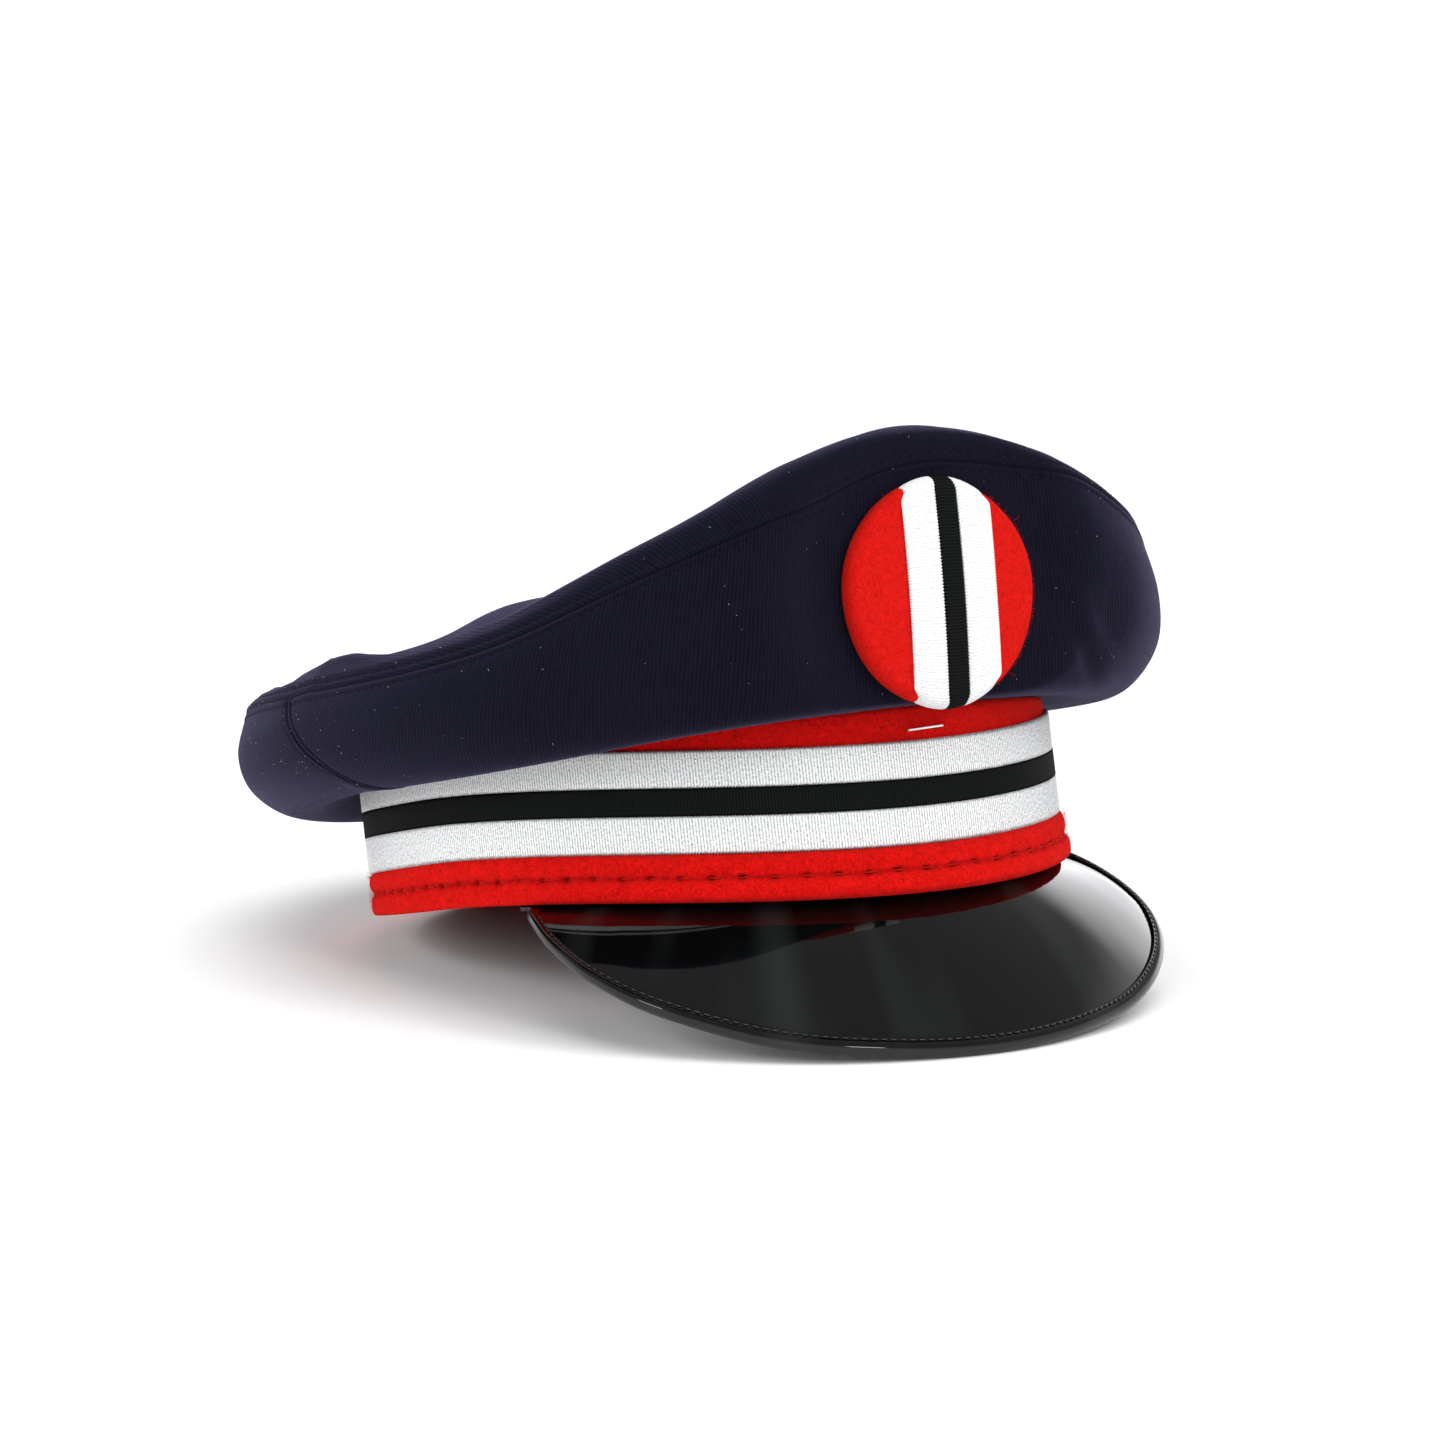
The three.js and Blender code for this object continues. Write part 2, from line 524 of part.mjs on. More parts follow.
// Folded edging: a rounded strip with a slot that holds the visor's edge. Its section is drawn with
// "in" measured from the free edge towards the root and "up" from the visor's middle plane.
function bindingGeometry() {
  const half = BINDING_THICKNESS / 2;
  const slot = VISOR_THICKNESS / 2 + BINDING_PLAY;
  const floor = BINDING_BITE - SEAM_GAP;
  const section = [
    [BINDING_WIDTH, slot], [BINDING_WIDTH * 0.93, half * 0.86], [BINDING_WIDTH * 0.7, half],
    [BINDING_WIDTH * 0.34, half * 0.94], [BINDING_WIDTH * 0.08, half * 0.55], [0, 0],
    [BINDING_WIDTH * 0.08, -half * 0.55], [BINDING_WIDTH * 0.34, -half * 0.94],
    [BINDING_WIDTH * 0.7, -half], [BINDING_WIDTH * 0.93, -half * 0.86],
    [BINDING_WIDTH, -slot], [floor, -slot], [floor, slot],
  ];
  const frames = BINDING_TURNS.map((turn) => {
    const length = visorPoint(turn, 1).distanceTo(visorPoint(turn, 0));
    return section.map(([inside, up]) => {
      const level = Math.max(0.01, 1 - inside / length);
      return visorPoint(turn, level).addScaledVector(visorNormal(turn, level), up - VISOR_THICKNESS / 2);
    });
  });
  return sweptBar(frames, false);
}

// Point in front of the badge's back: across towards the wearer's left, along its upright, out from it.
function onBadge(across, along, out) {
  return BADGE_BACK.clone().add(new THREE.Vector3(across, 0, 0))
    .addScaledVector(BADGE_UP, along).addScaledVector(BADGE_FACING, out);
}

// Height of the badge's padded face, lifted by a clearance, at a distance from its axis.
function badgeFace(distance, lift) {
  const flat = BADGE_RADIUS - BADGE_EDGE;
  if (distance <= flat) return BADGE_THICKNESS + lift + BADGE_DOME * (1 - (distance / flat) ** 2);
  const past = Math.min(distance - flat, BADGE_EDGE + lift);
  return BADGE_THICKNESS - BADGE_EDGE + Math.sqrt((BADGE_EDGE + lift) ** 2 - past ** 2);
}

function badgeDiscGeometry() {
  const flat = BADGE_RADIUS - BADGE_EDGE;
  const profile = [[0, 0], [BADGE_RADIUS - 1, 0], [BADGE_RADIUS, 1]];
  for (const bend of [0, 30, 60, 90]) {
    const distance = flat + BADGE_EDGE * Math.cos(bend * DEGREE);
    profile.push([distance, badgeFace(distance, 0)]);
  }
  for (const share of [0.66, 0.33, 0]) profile.push([flat * share, badgeFace(flat * share, 0)]);
  const frames = Array.from({ length: BADGE_STEPS }, (_, i) => {
    const across = Math.cos((2 * Math.PI * i) / BADGE_STEPS);
    const along = Math.sin((2 * Math.PI * i) / BADGE_STEPS);
    return profile.map(([distance, out]) => onBadge(distance * across, distance * along, out));
  });
  return sweptBar(frames, true);
}

// One stripe of the badge's ribbon, from edge to edge over the face and down its rim.
function badgeStripeGeometry(from, to) {
  const bends = [-1, -0.92, -0.8, -0.6, -0.3, 0, 0.3, 0.6, 0.8, 0.92, 1];
  const grid = (lift) => {
    const row = (bend, dropped) => steps(from, to, 2).map((across) => {
      const reach = Math.sqrt((BADGE_RADIUS + lift) ** 2 - across ** 2);
      const along = reach * Math.sin((bend * Math.PI) / 2);
      return onBadge(across, along, dropped ? BADGE_WRAP : badgeFace(Math.hypot(across, along), lift));
    });
    return [row(-1, true), ...bends.map((bend) => row(bend, false)), row(1, true)];
  };
  return closedSheet(grid(SEAM_GAP + BADGE_RIBBON_THICKNESS), grid(SEAM_GAP), false, null);
}

// Staple: a bar along the felt, turned a little.
function stapleGeometry() {
  const height = rollTop(STAPLE_TURN) + RIBBON_WIDTH + STAPLE_ABOVE_RIBBON;
  const sag = STAPLE_LENGTH ** 2 / (8 * (OVAL.width ** 2 / OVAL.length));
  const geometry = new THREE.BoxGeometry(STAPLE_LENGTH, STAPLE_DEPTH, STAPLE_WIDTH);
  geometry.rotateY(-STAPLE_SLOPE * DEGREE);
  geometry.rotateZ(STAPLE_TURN * DEGREE);
  const middle = place(STAPLE_TURN, SEAM_GAP + sag + STAPLE_DEPTH / 2, height);
  geometry.translate(middle.x, middle.y, middle.z);
  geometry.deleteAttribute('normal');
  geometry.deleteAttribute('uv');
  return mergeVertices(geometry, 1e-4);
}

// The cap's pieces, in the frame of its band: +Z along the band's walls.
const cap = new THREE.Group();

function addPiece(name, geometry, finish) {
  const mesh = new THREE.Mesh(geometry, new THREE.MeshStandardMaterial(finish));
  mesh.name = name;
  cap.add(mesh);
}

const NAVY_TWILL = { color: 0x14142e, roughness: 0.85, metalness: 0 };
const RED_FELT = { color: 0xb80d10, roughness: 0.95, metalness: 0 };
const WHITE_GROSGRAIN = { color: 0xd8dbdb, roughness: 0.6, metalness: 0 };
const BLACK_GROSGRAIN = { color: 0x0a0b0b, roughness: 0.7, metalness: 0 };
const PATENT = { color: 0x050505, roughness: 0.1, metalness: 0 };
const BRIGHT_WIRE = { color: 0xd9d9d9, roughness: 0.3, metalness: 1 };

addPiece('band_felt', bandGeometry(), RED_FELT);
let stripeBottom = SEAM_GAP;
for (const [name, width, finish] of [
  ['ribbon_white_lower', RIBBON_WHITE_WIDTH, WHITE_GROSGRAIN],
  ['ribbon_black', RIBBON_BLACK_WIDTH, BLACK_GROSGRAIN],
  ['ribbon_white_upper', RIBBON_WHITE_WIDTH, WHITE_GROSGRAIN],
]) {
  addPiece(name, stripeGeometry(stripeBottom, width - SEAM_GAP), finish);
  stripeBottom += width;
}

addPiece('crown_top', crownTopGeometry(), NAVY_TWILL);
addPiece('crown_front_side', crownFrontSideGeometry(), NAVY_TWILL);
addPiece('crown_back', crownBackGeometry(), NAVY_TWILL);

addPiece('visor', visorGeometry(), PATENT);
addPiece('visor_binding', bindingGeometry(), PATENT);

addPiece('badge_disc', badgeDiscGeometry(), RED_FELT);
let stripeSide = BADGE_RIBBON_OFFSET - BADGE_BLACK_WIDTH / 2 - BADGE_WHITE_WIDTH;
for (const [name, width, finish] of [
  ['badge_white_right', BADGE_WHITE_WIDTH, WHITE_GROSGRAIN],
  ['badge_black', BADGE_BLACK_WIDTH, BLACK_GROSGRAIN],
  ['badge_white_left', BADGE_WHITE_WIDTH, WHITE_GROSGRAIN],
]) {
  addPiece(name, badgeStripeGeometry(stripeSide + SEAM_GAP / 2, stripeSide + width - SEAM_GAP / 2), finish);
  stripeSide += width;
}
addPiece('staple', stapleGeometry(), BRIGHT_WIRE);

// The cap leans back until the visor's edge and the back of the band stand on the same level.
function lowest(tilt, front) {
  let low = Infinity;
  cap.traverse((piece) => {
    if (!piece.isMesh) return;
    const points = piece.geometry.getAttribute('position');
    for (let i = 0; i < points.count; i += 1) {
      const forward = points.getY(i) < 0;
      if (forward !== front) continue;
      low = Math.min(low, points.getZ(i) * Math.cos(tilt) - points.getY(i) * Math.sin(tilt));
    }
  });
  return low;
}

function restTilt() {
  let flat = 0;
  let steep = 40 * DEGREE;
  for (let i = 0; i < 40; i += 1) {
    const tilt = (flat + steep) / 2;
    if (lowest(tilt, true) < lowest(tilt, false)) flat = tilt;
    else steep = tilt;
  }
  return (flat + steep) / 2;
}

const part = new THREE.Group();
part.add(cap);
cap.rotation.x = -restTilt();
const bounds = new THREE.Box3().setFromObject(part, true);
const middle = bounds.getCenter(new THREE.Vector3());
cap.position.set(-middle.x, -middle.y, -bounds.min.z);

export default part;
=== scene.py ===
import math

import bmesh
import bpy
import numpy as np
from mathutils import Matrix, Vector


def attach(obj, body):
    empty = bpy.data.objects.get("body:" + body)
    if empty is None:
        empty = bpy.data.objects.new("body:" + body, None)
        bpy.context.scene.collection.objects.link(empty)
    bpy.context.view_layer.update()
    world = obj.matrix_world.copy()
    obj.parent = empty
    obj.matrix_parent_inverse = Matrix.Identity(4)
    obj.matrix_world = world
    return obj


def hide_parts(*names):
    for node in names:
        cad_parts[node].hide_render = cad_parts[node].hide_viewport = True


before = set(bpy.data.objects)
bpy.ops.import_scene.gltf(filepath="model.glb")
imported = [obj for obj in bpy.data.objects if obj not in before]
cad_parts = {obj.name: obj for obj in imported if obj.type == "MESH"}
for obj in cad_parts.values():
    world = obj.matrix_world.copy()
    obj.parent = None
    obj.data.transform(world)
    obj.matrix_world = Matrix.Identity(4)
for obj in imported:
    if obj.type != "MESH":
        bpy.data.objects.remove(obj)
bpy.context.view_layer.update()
scene = bpy.context.scene

# The cap leans back as it rests, on its visor's edge and on the back of its band. Its own frame has +Z
# along the band's walls, in millimetres, and everything below is made in that frame and then leant back.
MILLIMETRE = 0.001
LEAN = math.radians(13.4776)
CAP_ORIGIN = Vector((0, -5.7042, 21.7863))
CAP_FRAME = (
    Matrix.Diagonal((MILLIMETRE, MILLIMETRE, MILLIMETRE, 1))
    @ Matrix.Translation(CAP_ORIGIN) @ Matrix.Rotation(-LEAN, 4, "X")
)

# The view: the camera stands in front of the cap's right side, a little above it. In the photograph the cap
# leans back a little less than it does on its own, so the camera leans with it.
PHOTO_LEAN = math.radians(12.246)
CAMERA_TURN, CAMERA_RISE = math.radians(-33), math.radians(8.4087)
CAMERA_DISTANCE, CAMERA_LENS, CAMERA_SHIFT = 1.4, 129.04, (0.01399, 0.01823)
AIM_HEIGHT = 36.405


def towards(turn, rise):
    """The direction at a turn from the cap's front over its left side, and at a rise."""
    return Vector((math.sin(turn) * math.cos(rise), -math.cos(turn) * math.cos(rise), math.sin(rise)))


back = towards(CAMERA_TURN, CAMERA_RISE)
right = Vector((math.cos(CAMERA_TURN), math.sin(CAMERA_TURN), 0))
camera = bpy.data.objects.new("camera", bpy.data.cameras.new("camera"))
camera.data.sensor_width = 36
camera.data.lens = CAMERA_LENS
camera.data.shift_x, camera.data.shift_y = CAMERA_SHIFT
camera.data.clip_start, camera.data.clip_end = 0.05, 50
facing = Matrix((right, back.cross(right), back)).transposed()
turned = Matrix.Rotation(PHOTO_LEAN - LEAN, 3, "X") @ facing
aim = CAP_FRAME @ Vector((0, 0, AIM_HEIGHT))
camera.matrix_world = Matrix.Translation(aim + turned.col[2] * CAMERA_DISTANCE) @ turned.to_4x4()
scene.collection.objects.link(camera)
scene.camera = camera

# The studio: a pale floor, white walls with one bright panel on the cap's far side, a dimmer ceiling, and a
# broad light from above. Two large soft boxes light the cap and don't show in its gloss, and two small ones
# leave their glints on the visor's edging.
FLOOR_SIZE, BOX_DISTANCE, BOX_AIM = 60, 1.6, Vector((0, 0, 0.07))
bm = bmesh.new()
bmesh.ops.create_grid(bm, x_segments=1, y_segments=1, size=FLOOR_SIZE)
floor = bpy.data.objects.new("floor", bpy.data.meshes.new("floor"))
bm.to_mesh(floor.data)
bm.free()
scene.collection.objects.link(floor)
floor.data.materials.append(bpy.data.materials.new("pale_paper"))
floor.data.materials[0].use_nodes = True
paper = floor.data.materials[0].node_tree.nodes["Principled BSDF"]
paper.inputs["Base Color"].default_value = (0.93, 0.93, 0.93, 1)
paper.inputs["Roughness"].default_value = 0.95
paper.inputs["Specular IOR Level"].default_value = 0.1

world = bpy.data.worlds.new("studio")
world.use_nodes = True
tree = world.node_tree
around = tree.nodes.new("ShaderNodeTexCoord").outputs["Generated"]


def wall(direction, low, high, from_low, from_high):
    """A brightness that changes smoothly with how far one looks towards a direction."""
    facing = tree.nodes.new("ShaderNodeVectorMath")
    facing.operation = "DOT_PRODUCT"
    facing.inputs[1].default_value = direction
    tree.links.new(around, facing.inputs[0])
    blend = tree.nodes.new("ShaderNodeMapRange")
    blend.interpolation_type = "SMOOTHSTEP"
    limits = {"From Min": from_low, "From Max": from_high, "To Min": low, "To Max": high}
    for socket, value in limits.items():
        blend.inputs[socket].default_value = value
    tree.links.new(facing.outputs["Value"], blend.inputs["Value"])
    return blend.outputs[0]


ceiling = wall((0, 0, 1), 1.0, 0.36, 0.32, 0.50)
far_side = wall((0.81, 0.57, 0.12), 1.0, 2.6, 0.88, 0.95)
room = tree.nodes.new("ShaderNodeMath")
room.operation = "MULTIPLY"
tree.links.new(ceiling, room.inputs[0])
tree.links.new(far_side, room.inputs[1])
tree.links.new(room.outputs[0], tree.nodes["Background"].inputs["Strength"])
tree.nodes["Background"].inputs["Color"].default_value = (0.98, 0.98, 1, 1)
scene.world = world
scene.view_settings.view_transform = "Standard"

for name, turn, rise, size, power, in_gloss in (
    ("right_hand_box", 30, 34, 0.5, 4.5, False),
    ("left_hand_box", -112, 18, 0.9, 13, False),
    ("small_left_box", -66, 26, 0.25, 2.2, True),
    ("small_front_box", -4, 24, 0.25, 2.2, True),
):
    lamp = bpy.data.objects.new(name, bpy.data.lights.new(name, "AREA"))
    lamp.data.shape, lamp.data.size, lamp.data.energy = "SQUARE", size, power
    away = towards(math.radians(turn), math.radians(rise))
    lamp.location = BOX_AIM + away * BOX_DISTANCE
    lamp.rotation_euler = away.to_track_quat("Z", "Y").to_euler()
    lamp.visible_glossy = in_gloss
    scene.collection.objects.link(lamp)

skylight = bpy.data.objects.new("skylight", bpy.data.lights.new("skylight", "SUN"))
skylight.data.energy, skylight.data.angle = 2.1, math.radians(75)
skylight.rotation_euler = (math.radians(12), math.radians(8), 0)
skylight.visible_glossy = False
scene.collection.objects.link(skylight)

# The band: a wall of red wool felt round an oval head. Its lower edge is turned up into a soft roll, and a
# row of running stitches pulls a groove along the roll's middle, deepest where the needle went in.
HEAD_ROUND, ASPECT = 600, 1.17
WALL, SIDE_HEIGHT, FRONT_LOWERING = 2.4, 40, 2.6
FRONT_DIP, BACK_RISE = 10, 2.4
ROLL_HEIGHT, ROLL_PUFF, FRONT_FLARE, VISOR_HALF_TURN = 12.5, 1.5, 3.2, 71
STITCH_PITCH, ROLL_STITCH, THREAD_DEPTH = 7.8, (5.9, 0.5, 0.5), 1.0
FUZZ_FIBRES, FUZZ_THICK, HANDFUL = 5200, 0.05, 50

ratio = ((1 - ASPECT) / (1 + ASPECT)) ** 2
HALF_WIDTH = HEAD_ROUND / (math.pi * (1 + ASPECT) * (1 + 3 * ratio / (10 + math.sqrt(4 - 3 * ratio))))
HALF_LENGTH = HALF_WIDTH * ASPECT


def by_the_band(turn, out, height):
    """Points at a turn in degrees from the front, a distance out from the band's wall, and a height."""
    angle = np.radians(turn)
    x, y = np.sin(angle) / HALF_WIDTH, -np.cos(angle) / HALF_LENGTH
    length = np.hypot(x, y)
    return np.stack(np.broadcast_arrays(
        HALF_WIDTH * np.sin(angle) + x / length * out,
        -HALF_LENGTH * np.cos(angle) + y / length * out,
        height,
    ), -1)


def band_bottom(turn):
    front = np.cos(np.radians(turn))
    dip = -FRONT_DIP * np.maximum(front, 0) ** 1.92
    return dip + BACK_RISE * np.maximum(-front, 0) ** 1.3


def roll_top(turn):
    return np.minimum(0, band_bottom(turn)) + ROLL_HEIGHT


def band_top(turn):
    return SIDE_HEIGHT - FRONT_LOWERING * np.maximum(np.cos(np.radians(turn)), 0) ** 0.5


fine_turns = np.linspace(-180, 180, 3601)
steps_round = np.linalg.norm(np.diff(by_the_band(fine_turns, 0, 0), axis=0), axis=1)
ROUND = np.concatenate([[0], np.cumsum(steps_round)])


def length_and_turn(x, y):
    """The length in millimetres round the band, from the back over the right side, and the turn there, at
    points of a spun ring."""
    length = (np.arctan2(x, -y) / math.pi + 1) / 2 * ROUND[-1]
    return length, np.interp(length, ROUND, fine_turns)


def step(low, high, value):
    """A smooth step, from 0 at low to 1 at high."""
    share = np.clip((value - low) / (high - low), 0, 1)
    return share * share * (3 - 2 * share)


def as_it_rests(points):
    """Points of the cap's own frame, in millimetres, as they stand in the room, in metres."""
    matrix = np.array(CAP_FRAME)
    return points @ matrix[:3, :3].T + matrix[:3, 3]


UPRIGHT = {"cent": (0, 0, 0), "axis": (0, 0, 1)}


def spun_round(section, wedges, steps):
    """A closed section of (radius, height) corners, spun through one wedge of the upright axis and then
    repeated wedge by wedge, until the ring is whole."""
    bm = bmesh.new()
    corners = [bm.verts.new((radius, 0, height)) for radius, height in section]
    for corner, following in zip(corners, corners[1:] + corners[:1]):
        bm.edges.new((corner, following))
    wedge = 2 * math.pi / wedges
    bmesh.ops.spin(bm, geom=bm.verts[:] + bm.edges[:], **UPRIGHT, angle=wedge, steps=steps)
    bmesh.ops.spin(
        bm, geom=bm.verts[:] + bm.edges[:] + bm.faces[:], **UPRIGHT,
        angle=2 * math.pi - wedge, steps=wedges - 1, use_duplicate=True,
    )
    return bm


def placed(name, mesh, material):
    """A piece of the cap from its mesh, on the cap's one body."""
    mesh.shade_smooth()
    mesh.materials.append(material)
    piece = bpy.data.objects.new(name, mesh)
    scene.collection.objects.link(piece)
    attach(piece, "root")
    return piece


def finished(name, bm, form, material, wall=0, once_round=0):
    """A piece from a plain mesh. Form takes its vertices' x, y and z, and gives their places in the cap's
    frame, their places across and along the flat cloth, and a painted shade from 0 to 1, which darkens
    the colour. A wall is a thickness that the sheet gets inwards, and once_round the length at which a
    ring's cloth meets itself."""
    mesh = bpy.data.meshes.new(name)
    bm.to_mesh(mesh)
    bm.free()
    raw = np.empty(len(mesh.vertices) * 3)
    mesh.vertices.foreach_get("co", raw)
    points, across, along, shade = form(*raw.reshape(-1, 3).T)
    mesh.vertices.foreach_set("co", as_it_rests(points).ravel())
    corners = np.empty(len(mesh.loops), int)
    mesh.loops.foreach_get("vertex_index", corners)
    flat = np.stack(np.broadcast_arrays(across, along), -1)[corners]
    if once_round:
        faces = flat.reshape(-1, 4, 2)
        behind = faces[..., 0].max(axis=1, keepdims=True) - faces[..., 0] > once_round / 2
        faces[..., 0] += once_round * behind
    mesh.uv_layers.new(name="UVMap").data.foreach_set("uv", flat.ravel())
    # The shade attribute carries painted shade: the materials darken their colour where it is high.
    painted_shade_layer = mesh.attributes.new("shade", "FLOAT", "POINT")
    painted_shade_layer.data.foreach_set("value", np.broadcast_to(shade, len(mesh.vertices)).astype("f"))
    bm = bmesh.new()
    bm.from_mesh(mesh)
    bmesh.ops.remove_doubles(bm, verts=bm.verts, dist=1e-6)
    bmesh.ops.dissolve_degenerate(bm, edges=bm.edges, dist=1e-7)
    if not wall:
        bmesh.ops.recalc_face_normals(bm, faces=bm.faces)
    bm.to_mesh(mesh)
    bm.free()
    piece = placed(name, mesh, material)
    if wall:
        thick = piece.modifiers.new("wall", "SOLIDIFY")
        thick.thickness, thick.offset, thick.use_even_offset = wall * MILLIMETRE, -1, True
    return piece


class Finish:
    """A procedural material, built node by node."""

    def __init__(self, name, colour, roughness, shine=0.5):
        self.material = bpy.data.materials.new(name)
        self.material.use_nodes = True
        self.tree = self.material.node_tree
        self.shader = self.tree.nodes["Principled BSDF"]
        self.set(**{"Base Color": (*colour, 1), "Roughness": roughness, "Specular IOR Level": shine})

    def set(self, **values):
        for socket, value in values.items():
            self.shader.inputs[socket].default_value = value

    def node(self, kind, inputs=None, **settings):
        made = self.tree.nodes.new("ShaderNode" + kind)
        for key, value in settings.items():
            setattr(made, key, value)
        for socket, value in (inputs or {}).items():
            if isinstance(value, bpy.types.NodeSocket):
                self.tree.links.new(value, made.inputs[socket])
            else:
                made.inputs[socket].default_value = value
        return made.outputs

    def math(self, operation, *values):
        return self.node("Math", dict(enumerate(values)), operation=operation)[0]

    def noise(self, place, scale, **inputs):
        return self.node("TexNoise", {"Vector": place, "Scale": scale, **inputs})["Fac"]

    def share(self, value, low, high, to_low=0.0, to_high=1.0):
        limits = {"From Min": low, "From Max": high, "To Min": to_low, "To Max": to_high}
        return self.node("MapRange", {"Value": value, **limits})[0]

    def mix(self, share, colour_a, colour_b):
        colours = [c if isinstance(c, bpy.types.NodeSocket) else (*c, 1) for c in (colour_a, colour_b)]
        return self.node("Mix", {0: share, 6: colours[0], 7: colours[1]}, data_type="RGBA")[2]

    def colour(self, socket):
        self.tree.links.new(socket, self.shader.inputs["Base Color"])

    def in_the_room(self):
        """Places in the room, in metres."""
        return self.node("TexCoord")["Object"]

    def shaded(self, tint, colour):
        """The tint, and a darker colour as painted shade where the piece's shade says so."""
        self.colour(self.mix(self.node("Attribute", attribute_name="shade")["Fac"], tint, colour))

    def relief(self, height, strength, depth):
        bumped = self.node("Bump", {"Height": height, "Strength": strength, "Distance": depth})
        self.tree.links.new(bumped[0], self.shader.inputs["Normal"])


def felt(name, dark, middle, bright):
    """Matted wool: mottled, with fine fibres lying in all directions, and darkened with painted shade in
    its grooves.
    """
    finish = Finish(name, middle, 1.0, 0.04)
    place = finish.in_the_room()
    matted = finish.noise(place, 700, Detail=4.0, Roughness=0.75, Distortion=1.5)
    fibre = finish.noise(place, 2200, Detail=2.0, Roughness=0.6, Distortion=3.0)
    nap = finish.math("ADD", matted, finish.math("MULTIPLY", fibre, 0.7))
    # Painted shade: a much darker red where the piece's shade attribute is high.
    finish.shaded(finish.mix(finish.share(nap, 0.60, 0.98), dark, bright), tuple(c * 0.12 for c in dark))
    finish.relief(nap, 0.8, 0.0005)
    finish.set(**{"Sheen Weight": 0.12, "Sheen Roughness": 0.5, "Sheen Tint": (1, 0.12, 0.08, 1)})
    return finish.material


BAND_FELT = felt("band_felt", (0.34, 0.002, 0.002), (0.6, 0.005, 0.004), (0.84, 0.008, 0.006))

stitches = round(ROUND[-1] / STITCH_PITCH)
ROUND_THE_ROLL = np.concatenate([np.linspace(0, 1, 33), np.linspace(1.08, 1.96, 9)])
section = (
    [(1, share) for share in ROUND_THE_ROLL] + [(0.93, 2), (0.6, 2.01), (0.3, 2.01), (0.06, 2)]
    + [(0, share) for share in np.linspace(1.96, 0.12, 9)] + [(0.15, 0.03), (0.5, 0)]
)


def front_flare(turn):
    return FRONT_FLARE * np.maximum(0, 1 - np.abs(turn) / VISOR_HALF_TURN) ** 0.6


def band_form(x, y, z):
    """The spun ring's radius runs from 1 inside the wall to 2 outside, its height to 1 up the roll and on
    to 2 up the wall."""
    side, share = np.hypot(x, y) - 1, z
    length, turn = length_and_turn(x, y)
    flare = front_flare(turn)
    puff = ROLL_PUFF + flare + (flare * 0.5 - flare) * step(0.3, 0.7, share)
    pull = 0.75 + 0.25 * np.sin(length * 0.21) * np.sin(length * 0.057)
    needle = np.cos(length / ROUND[-1] * stitches * np.pi) ** 16 * pull
    profile = np.interp(
        share, [0, 0.05, 0.12, 0.26, 0.74, 0.89, 0.96, 1], [0.45, 0.8, 0.95, 1, 1, 0.75, 0.4, 0]
    )
    line = share - 0.5 - 0.012 * np.sin(length * 0.31)
    groove = np.exp(-((line / 0.055) ** 2)) * (0.5 + 1.5 * needle)
    groove = groove + np.exp(-((line / 0.16) ** 2)) * 0.6
    lumps = 0.14 * np.sin(length * 0.83 + 3 * share) * np.sin(length * 0.29 - 5 * share) * (share < 1)
    out = -WALL + side * (WALL + puff * profile - groove + lumps)
    low, roll = band_bottom(turn), roll_top(turn) - band_bottom(turn)
    height = low + roll * np.minimum(share, 1) + (band_top(turn) - low - roll) * np.maximum(share - 1, 0)
    height = height + 1.4 * np.maximum(0, 0.9 - side) ** 2 * (share < 0.5)
    # Painted shade: the roll's stitched groove is darkened in colour, most where the needle went in.
    shade = np.exp(-((line / 0.05) ** 2)) * (0.35 + 0.75 * needle) * (side > 0.9)
    return by_the_band(turn, out, height), length, share * 20, np.clip(shade, 0, 1)


ring = [(1 + side, share) for side, share in section]
band = finished(
    "felt_band", spun_round(ring, stitches, 12), band_form, BAND_FELT, once_round=ROUND[-1]
)
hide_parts("band_felt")


def stitched_along(path, out, pitch, start=0.5):
    """Where stitches sit at an even pitch along a path: their middles, their directions and which way is
    out. Start is the share of a pitch before the first."""
    lengths = np.concatenate([[0], np.cumsum(np.linalg.norm(np.diff(path, axis=0), axis=1))])
    spots = np.arange(pitch * start, lengths[-1], pitch)

    def at(values, where):
        return np.stack([np.interp(where, lengths, values[:, k]) for k in range(3)], -1)

    return at(path, spots), at(path, spots + 0.4) - at(path, spots - 0.4), at(out, spots)


def gathered(name, make_one, lays, material):
    """Many small shapes of one kind in one piece, each laid in its place by a matrix. They are made a
    handful at a time, because each step is slow in a large mesh."""
    mesh = bpy.data.meshes.new(name)
    heap = bmesh.new()
    for first in range(0, len(lays), HANDFUL):
        handful = bmesh.new()
        for lay in lays[first:first + HANDFUL]:
            make_one(handful, lay)
        handful.to_mesh(mesh)
        handful.free()
        heap.from_mesh(mesh)
    heap.to_mesh(mesh)
    heap.free()
    return placed(name, mesh, material)


def sewn(name, places, size, material):
    """A row of stitches: each is a short spindle of thread, with its length, width and height."""
    middles, ahead, outward = places
    turned = as_it_rests(np.concatenate([middles, middles + ahead, middles + outward])).reshape(3, -1, 3)
    half_size = Matrix.Diagonal((*[s * (MILLIMETRE / 2) for s in size], 1))
    lays = []
    for middle, front, top in zip(*turned):
        ahead, outward = Vector(front - middle).normalized(), Vector(top - middle).normalized()
        sideways = outward.cross(ahead).normalized()
        lay = Matrix((ahead, sideways, ahead.cross(sideways))).transposed().to_4x4()
        lays.append(Matrix.Translation(Vector(middle)) @ lay @ half_size)

    def stitch(bm, lay):
        bmesh.ops.create_icosphere(bm, subdivisions=1, radius=1, matrix=lay)

    return gathered(name, stitch, lays, material)


def thread(name, colour, roughness=0.7, shine=0.15):
    """Twisted sewing thread."""
    finish = Finish(name, colour, roughness, shine)
    twist = finish.noise(finish.in_the_room(), 3000, Detail=1.0)
    finish.colour(finish.mix(finish.share(twist, 0.3, 0.7), tuple(c * 0.6 for c in colour), colour))
    finish.relief(twist, 0.5, 0.0001)
    return finish.material


